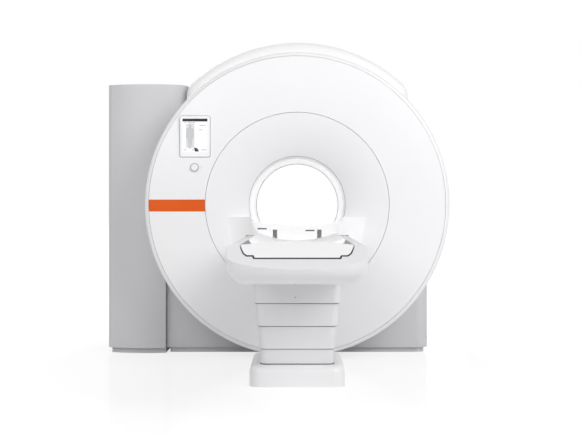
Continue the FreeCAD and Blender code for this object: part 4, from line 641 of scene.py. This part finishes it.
for side, across, height in (("left", -0.207, 0.853), ("right", 0.076, 0.843)):
    build = bmesh.new()
    loops = []
    for inset, y in ((LINER_GAP, LINER_FRONT), (LINER_GAP, LINER_BACK),
                     (LINER_GAP + LINER_WALL, LINER_BACK), (LINER_GAP + LINER_WALL, LINER_FRONT)):
        wide, high = SLOT_HALF_WIDE - inset, SLOT_HALF_HIGH - inset
        loops.append([(across + x, y, height + z) for x, z in (
            (-wide, -high), (wide, -high), (wide, high), (-wide, high))])
    add_band(build, list(zip(*loops)), closed=True)
    wide, high = SLOT_HALF_WIDE - BLOCK_INSET, SLOT_HALF_HIGH - BLOCK_INSET
    add_block(build, (across - wide, BLOCK_FRONT, height - high),
              (across + wide, BLOCK_BACK, height + high), BLOCK_ROUND)
    keep_piece(f"{side}_coil_socket_liner", build, "tabletop", liner_plastic)
    build = bmesh.new()
    for step in range(BLADES):
        spot = across + (step - BLADES // 2) * BLADE_PITCH
        add_block(build, (spot - BLADE_HALF_WIDE, BLADE_FRONT, height - BLADE_HALF_HIGH),
                  (spot + BLADE_HALF_WIDE, BLADE_BACK, height + BLADE_HALF_HIGH), BLADE_ROUND)
    keep_piece(f"{side}_coil_contacts", build, "tabletop", nickel)

# The black rubber seal follows the tabletop's channel, and the drive belt is the same rubber. The
# glide rails are machined from pale cast nylon, which leaves fine lines along them.
dress(rubber_and_painted_shadow, "nose_seal", "drive_belt")
glide_nylon = surface(
    "machined_nylon", "#D5D5D2", "#C9C9C5", patch_mm=100, grain_mm=4, roughness=0.45,
    relief_mm=0.05, stretch=(1, 0.1, 1))
dress(glide_nylon, "glide_rails")

# ------------------------------------------------------------------ lifting column
# Aluminium profiles, extruded and anodised, run inside each other round a ground chromed rod; the
# extrusion leaves faint lines along their height, and the rod is as bright as a mirror.
anodised_profile = surface(
    "anodised_aluminium", "#C3C5C8", "#B2B4B8", patch_mm=40, grain_mm=4, roughness=0.32,
    relief_mm=0.04, stretch=(1, 1, 0.03), Metallic=1.0)
dress(anodised_profile, "column_outer", "column_middle", "column_inner")
chromed_rod = surface(
    "hard_chromed_rod", "#D8D9DB", "#CDCED1", patch_mm=15, grain_mm=2, roughness=0.12,
    swing=0.02, relief_mm=0.005, Metallic=1.0)
dress(chromed_rod, "actuator_rod")

# ------------------------------------------------------------------ room
# A pale floor with a slight gloss, painted resin, that fades into a white room. The camera and
# mirror-like rays see it mostly white, and more so away from the object, so its shadow stays.
FLOOR_REACH = 60.0
SHADOW_CENTRE, SHADOW_REACH = (-0.15, -1.2), (1.45, 2.3)
NEAR_WHITE, FAR_WHITE = 0.72, 0.97
FADE_FROM, FADE_TO = 0.9, 1.6        # in shadow reaches from its centre
WHITE_STRENGTH, MOTTLE_SCALE = 1.14, 1.1
FLOOR_MIRROR, MIRROR_ROUGHNESS = 0.10, 0.10
floor_mesh = bpy.data.meshes.new("studio_floor")
floor_mesh.from_pydata(
    [(-FLOOR_REACH, -FLOOR_REACH, 0), (FLOOR_REACH, -FLOOR_REACH, 0),
     (FLOOR_REACH, FLOOR_REACH, 0), (-FLOOR_REACH, FLOOR_REACH, 0)], [], [(0, 1, 2, 3)])
floor = bpy.data.objects.new("studio_floor", floor_mesh)
bpy.context.scene.collection.objects.link(floor)


def seen_rays(tree):
    """1 for camera, mirror-like and transmitted rays, 0 for those that only carry light."""
    path = add_node(tree, "ShaderNodeLightPath")
    seen = add_node(tree, "ShaderNodeMath", {
        0: path.outputs["Is Camera Ray"], 1: path.outputs["Is Glossy Ray"]},
        operation="MAXIMUM")
    return add_node(tree, "ShaderNodeMath", {
        0: seen.outputs[0], 1: path.outputs["Is Transmission Ray"]},
        operation="MAXIMUM").outputs[0]


floor_paint = bpy.data.materials.new("white_floor_resin")
floor_paint.use_nodes = True
tree = floor_paint.node_tree
tree.nodes.remove(tree.nodes["Principled BSDF"])
mottle = add_node(tree, "ShaderNodeTexNoise", {
    "Vector": add_node(tree, "ShaderNodeTexCoord").outputs["Object"], "Scale": MOTTLE_SCALE})
tone = add_node(tree, "ShaderNodeMix", {
    "Factor": mottle.outputs["Fac"], "A": linear("#F7F7F7"), "B": linear("#F9F9F9")},
    data_type="RGBA").outputs[2]
matt = add_node(tree, "ShaderNodeBsdfDiffuse", {"Color": tone})
glow = add_node(tree, "ShaderNodeEmission", {
    "Color": (1, 1, 1, 1), "Strength": WHITE_STRENGTH})
spread = add_node(tree, "ShaderNodeMapping", {
    "Vector": add_node(tree, "ShaderNodeTexCoord").outputs["Object"],
    "Location": [-c / r for c, r in zip(SHADOW_CENTRE, SHADOW_REACH)] + [0],
    "Scale": [1 / r for r in SHADOW_REACH] + [1]})
away = add_node(tree, "ShaderNodeVectorMath", {0: spread.outputs[0]}, operation="LENGTH")
fade = add_node(tree, "ShaderNodeMapRange", {
    "Value": away.outputs["Value"], "From Min": FADE_FROM, "From Max": FADE_TO,
    "To Min": NEAR_WHITE, "To Max": FAR_WHITE}, interpolation_type="SMOOTHSTEP")
share = add_node(tree, "ShaderNodeMath", {0: seen_rays(tree), 1: fade.outputs["Result"]},
                 operation="MULTIPLY")
pale = add_node(tree, "ShaderNodeMixShader", {
    0: share.outputs[0], 1: matt.outputs[0], 2: glow.outputs[0]})
mirror = add_node(tree, "ShaderNodeBsdfGlossy", {"Roughness": MIRROR_ROUGHNESS})
whole = add_node(tree, "ShaderNodeMixShader", {
    0: FLOOR_MIRROR, 1: pale.outputs[0], 2: mirror.outputs[0]})
tree.links.new(whole.outputs[0], tree.nodes["Material Output"].inputs["Surface"])
floor_mesh.materials.append(floor_paint)

# The room lights the object a little from all round; what is seen of it is plain white.
ROOM_LEVEL, SEEN_LEVEL = 0.4, 1.0
world = bpy.data.worlds.new("white_room")
bpy.context.scene.world = world
world.use_nodes = True
tree = world.node_tree
strength = add_node(tree, "ShaderNodeMix", {
    "Factor": seen_rays(tree), "A": ROOM_LEVEL, "B": SEEN_LEVEL}, data_type="FLOAT")
tree.links.new(strength.outputs[0], tree.nodes["Background"].inputs["Strength"])
tree.nodes["Background"].inputs["Color"].default_value = (1, 1, 1, 1)


def soft_lamp(name, place, aim, size, power):
    """A square soft box at a place, turned to a point."""
    data = bpy.data.lights.new(name, "AREA")
    data.shape = "SQUARE"
    data.size = size
    data.energy = power
    lamp = bpy.data.objects.new(name, data)
    lamp.location = place
    lamp.rotation_euler = (Vector(aim) - Vector(place)).to_track_quat("-Z", "Y").to_euler()
    bpy.context.scene.collection.objects.link(lamp)


# The main light comes from the front right and a weaker one from the front left. One behind lights
# the casing, and a faint one shines into the tunnel's rear end.
soft_lamp("right_soft_box", (4.5, -6.5, 5.0), aim=(0.2, -0.8, 1.0), size=4.0, power=290)
soft_lamp("left_soft_box", (-3.0, -7.2, 3.8), aim=(0.0, -0.8, 1.0), size=4.0, power=122)
soft_lamp("rear_soft_box", (-2.5, 6.5, 4.5), aim=(0.0, 0.7, 1.2), size=4.0, power=120)
soft_lamp("tunnel_soft_box", (0.3, 5.0, 1.8), aim=(0.0, 0.0, 1.0), size=3.0, power=18)

# ------------------------------------------------------------------ camera
# A level camera at seat height, 8.5 m in front of the face. A small shift of its lens frames the
# machine as in the picture.
PICTURE_WIDE, FOCAL_PIXELS, SENSOR_WIDE = 580, 1328, 36.0
camera_data = bpy.data.cameras.new("camera")
camera_data.sensor_width = SENSOR_WIDE
camera_data.lens = SENSOR_WIDE * FOCAL_PIXELS / PICTURE_WIDE
camera_data.shift_x = -0.0124
camera_data.shift_y = -0.0147
camera_data.clip_end = 200.0
camera = bpy.data.objects.new("camera", camera_data)
camera.location = (0.0, -9.225, 0.97)
camera.rotation_euler = (math.radians(90), 0, 0)
bpy.context.scene.collection.objects.link(camera)
bpy.context.scene.camera = camera

bpy.context.scene.view_settings.view_transform = "Standard"
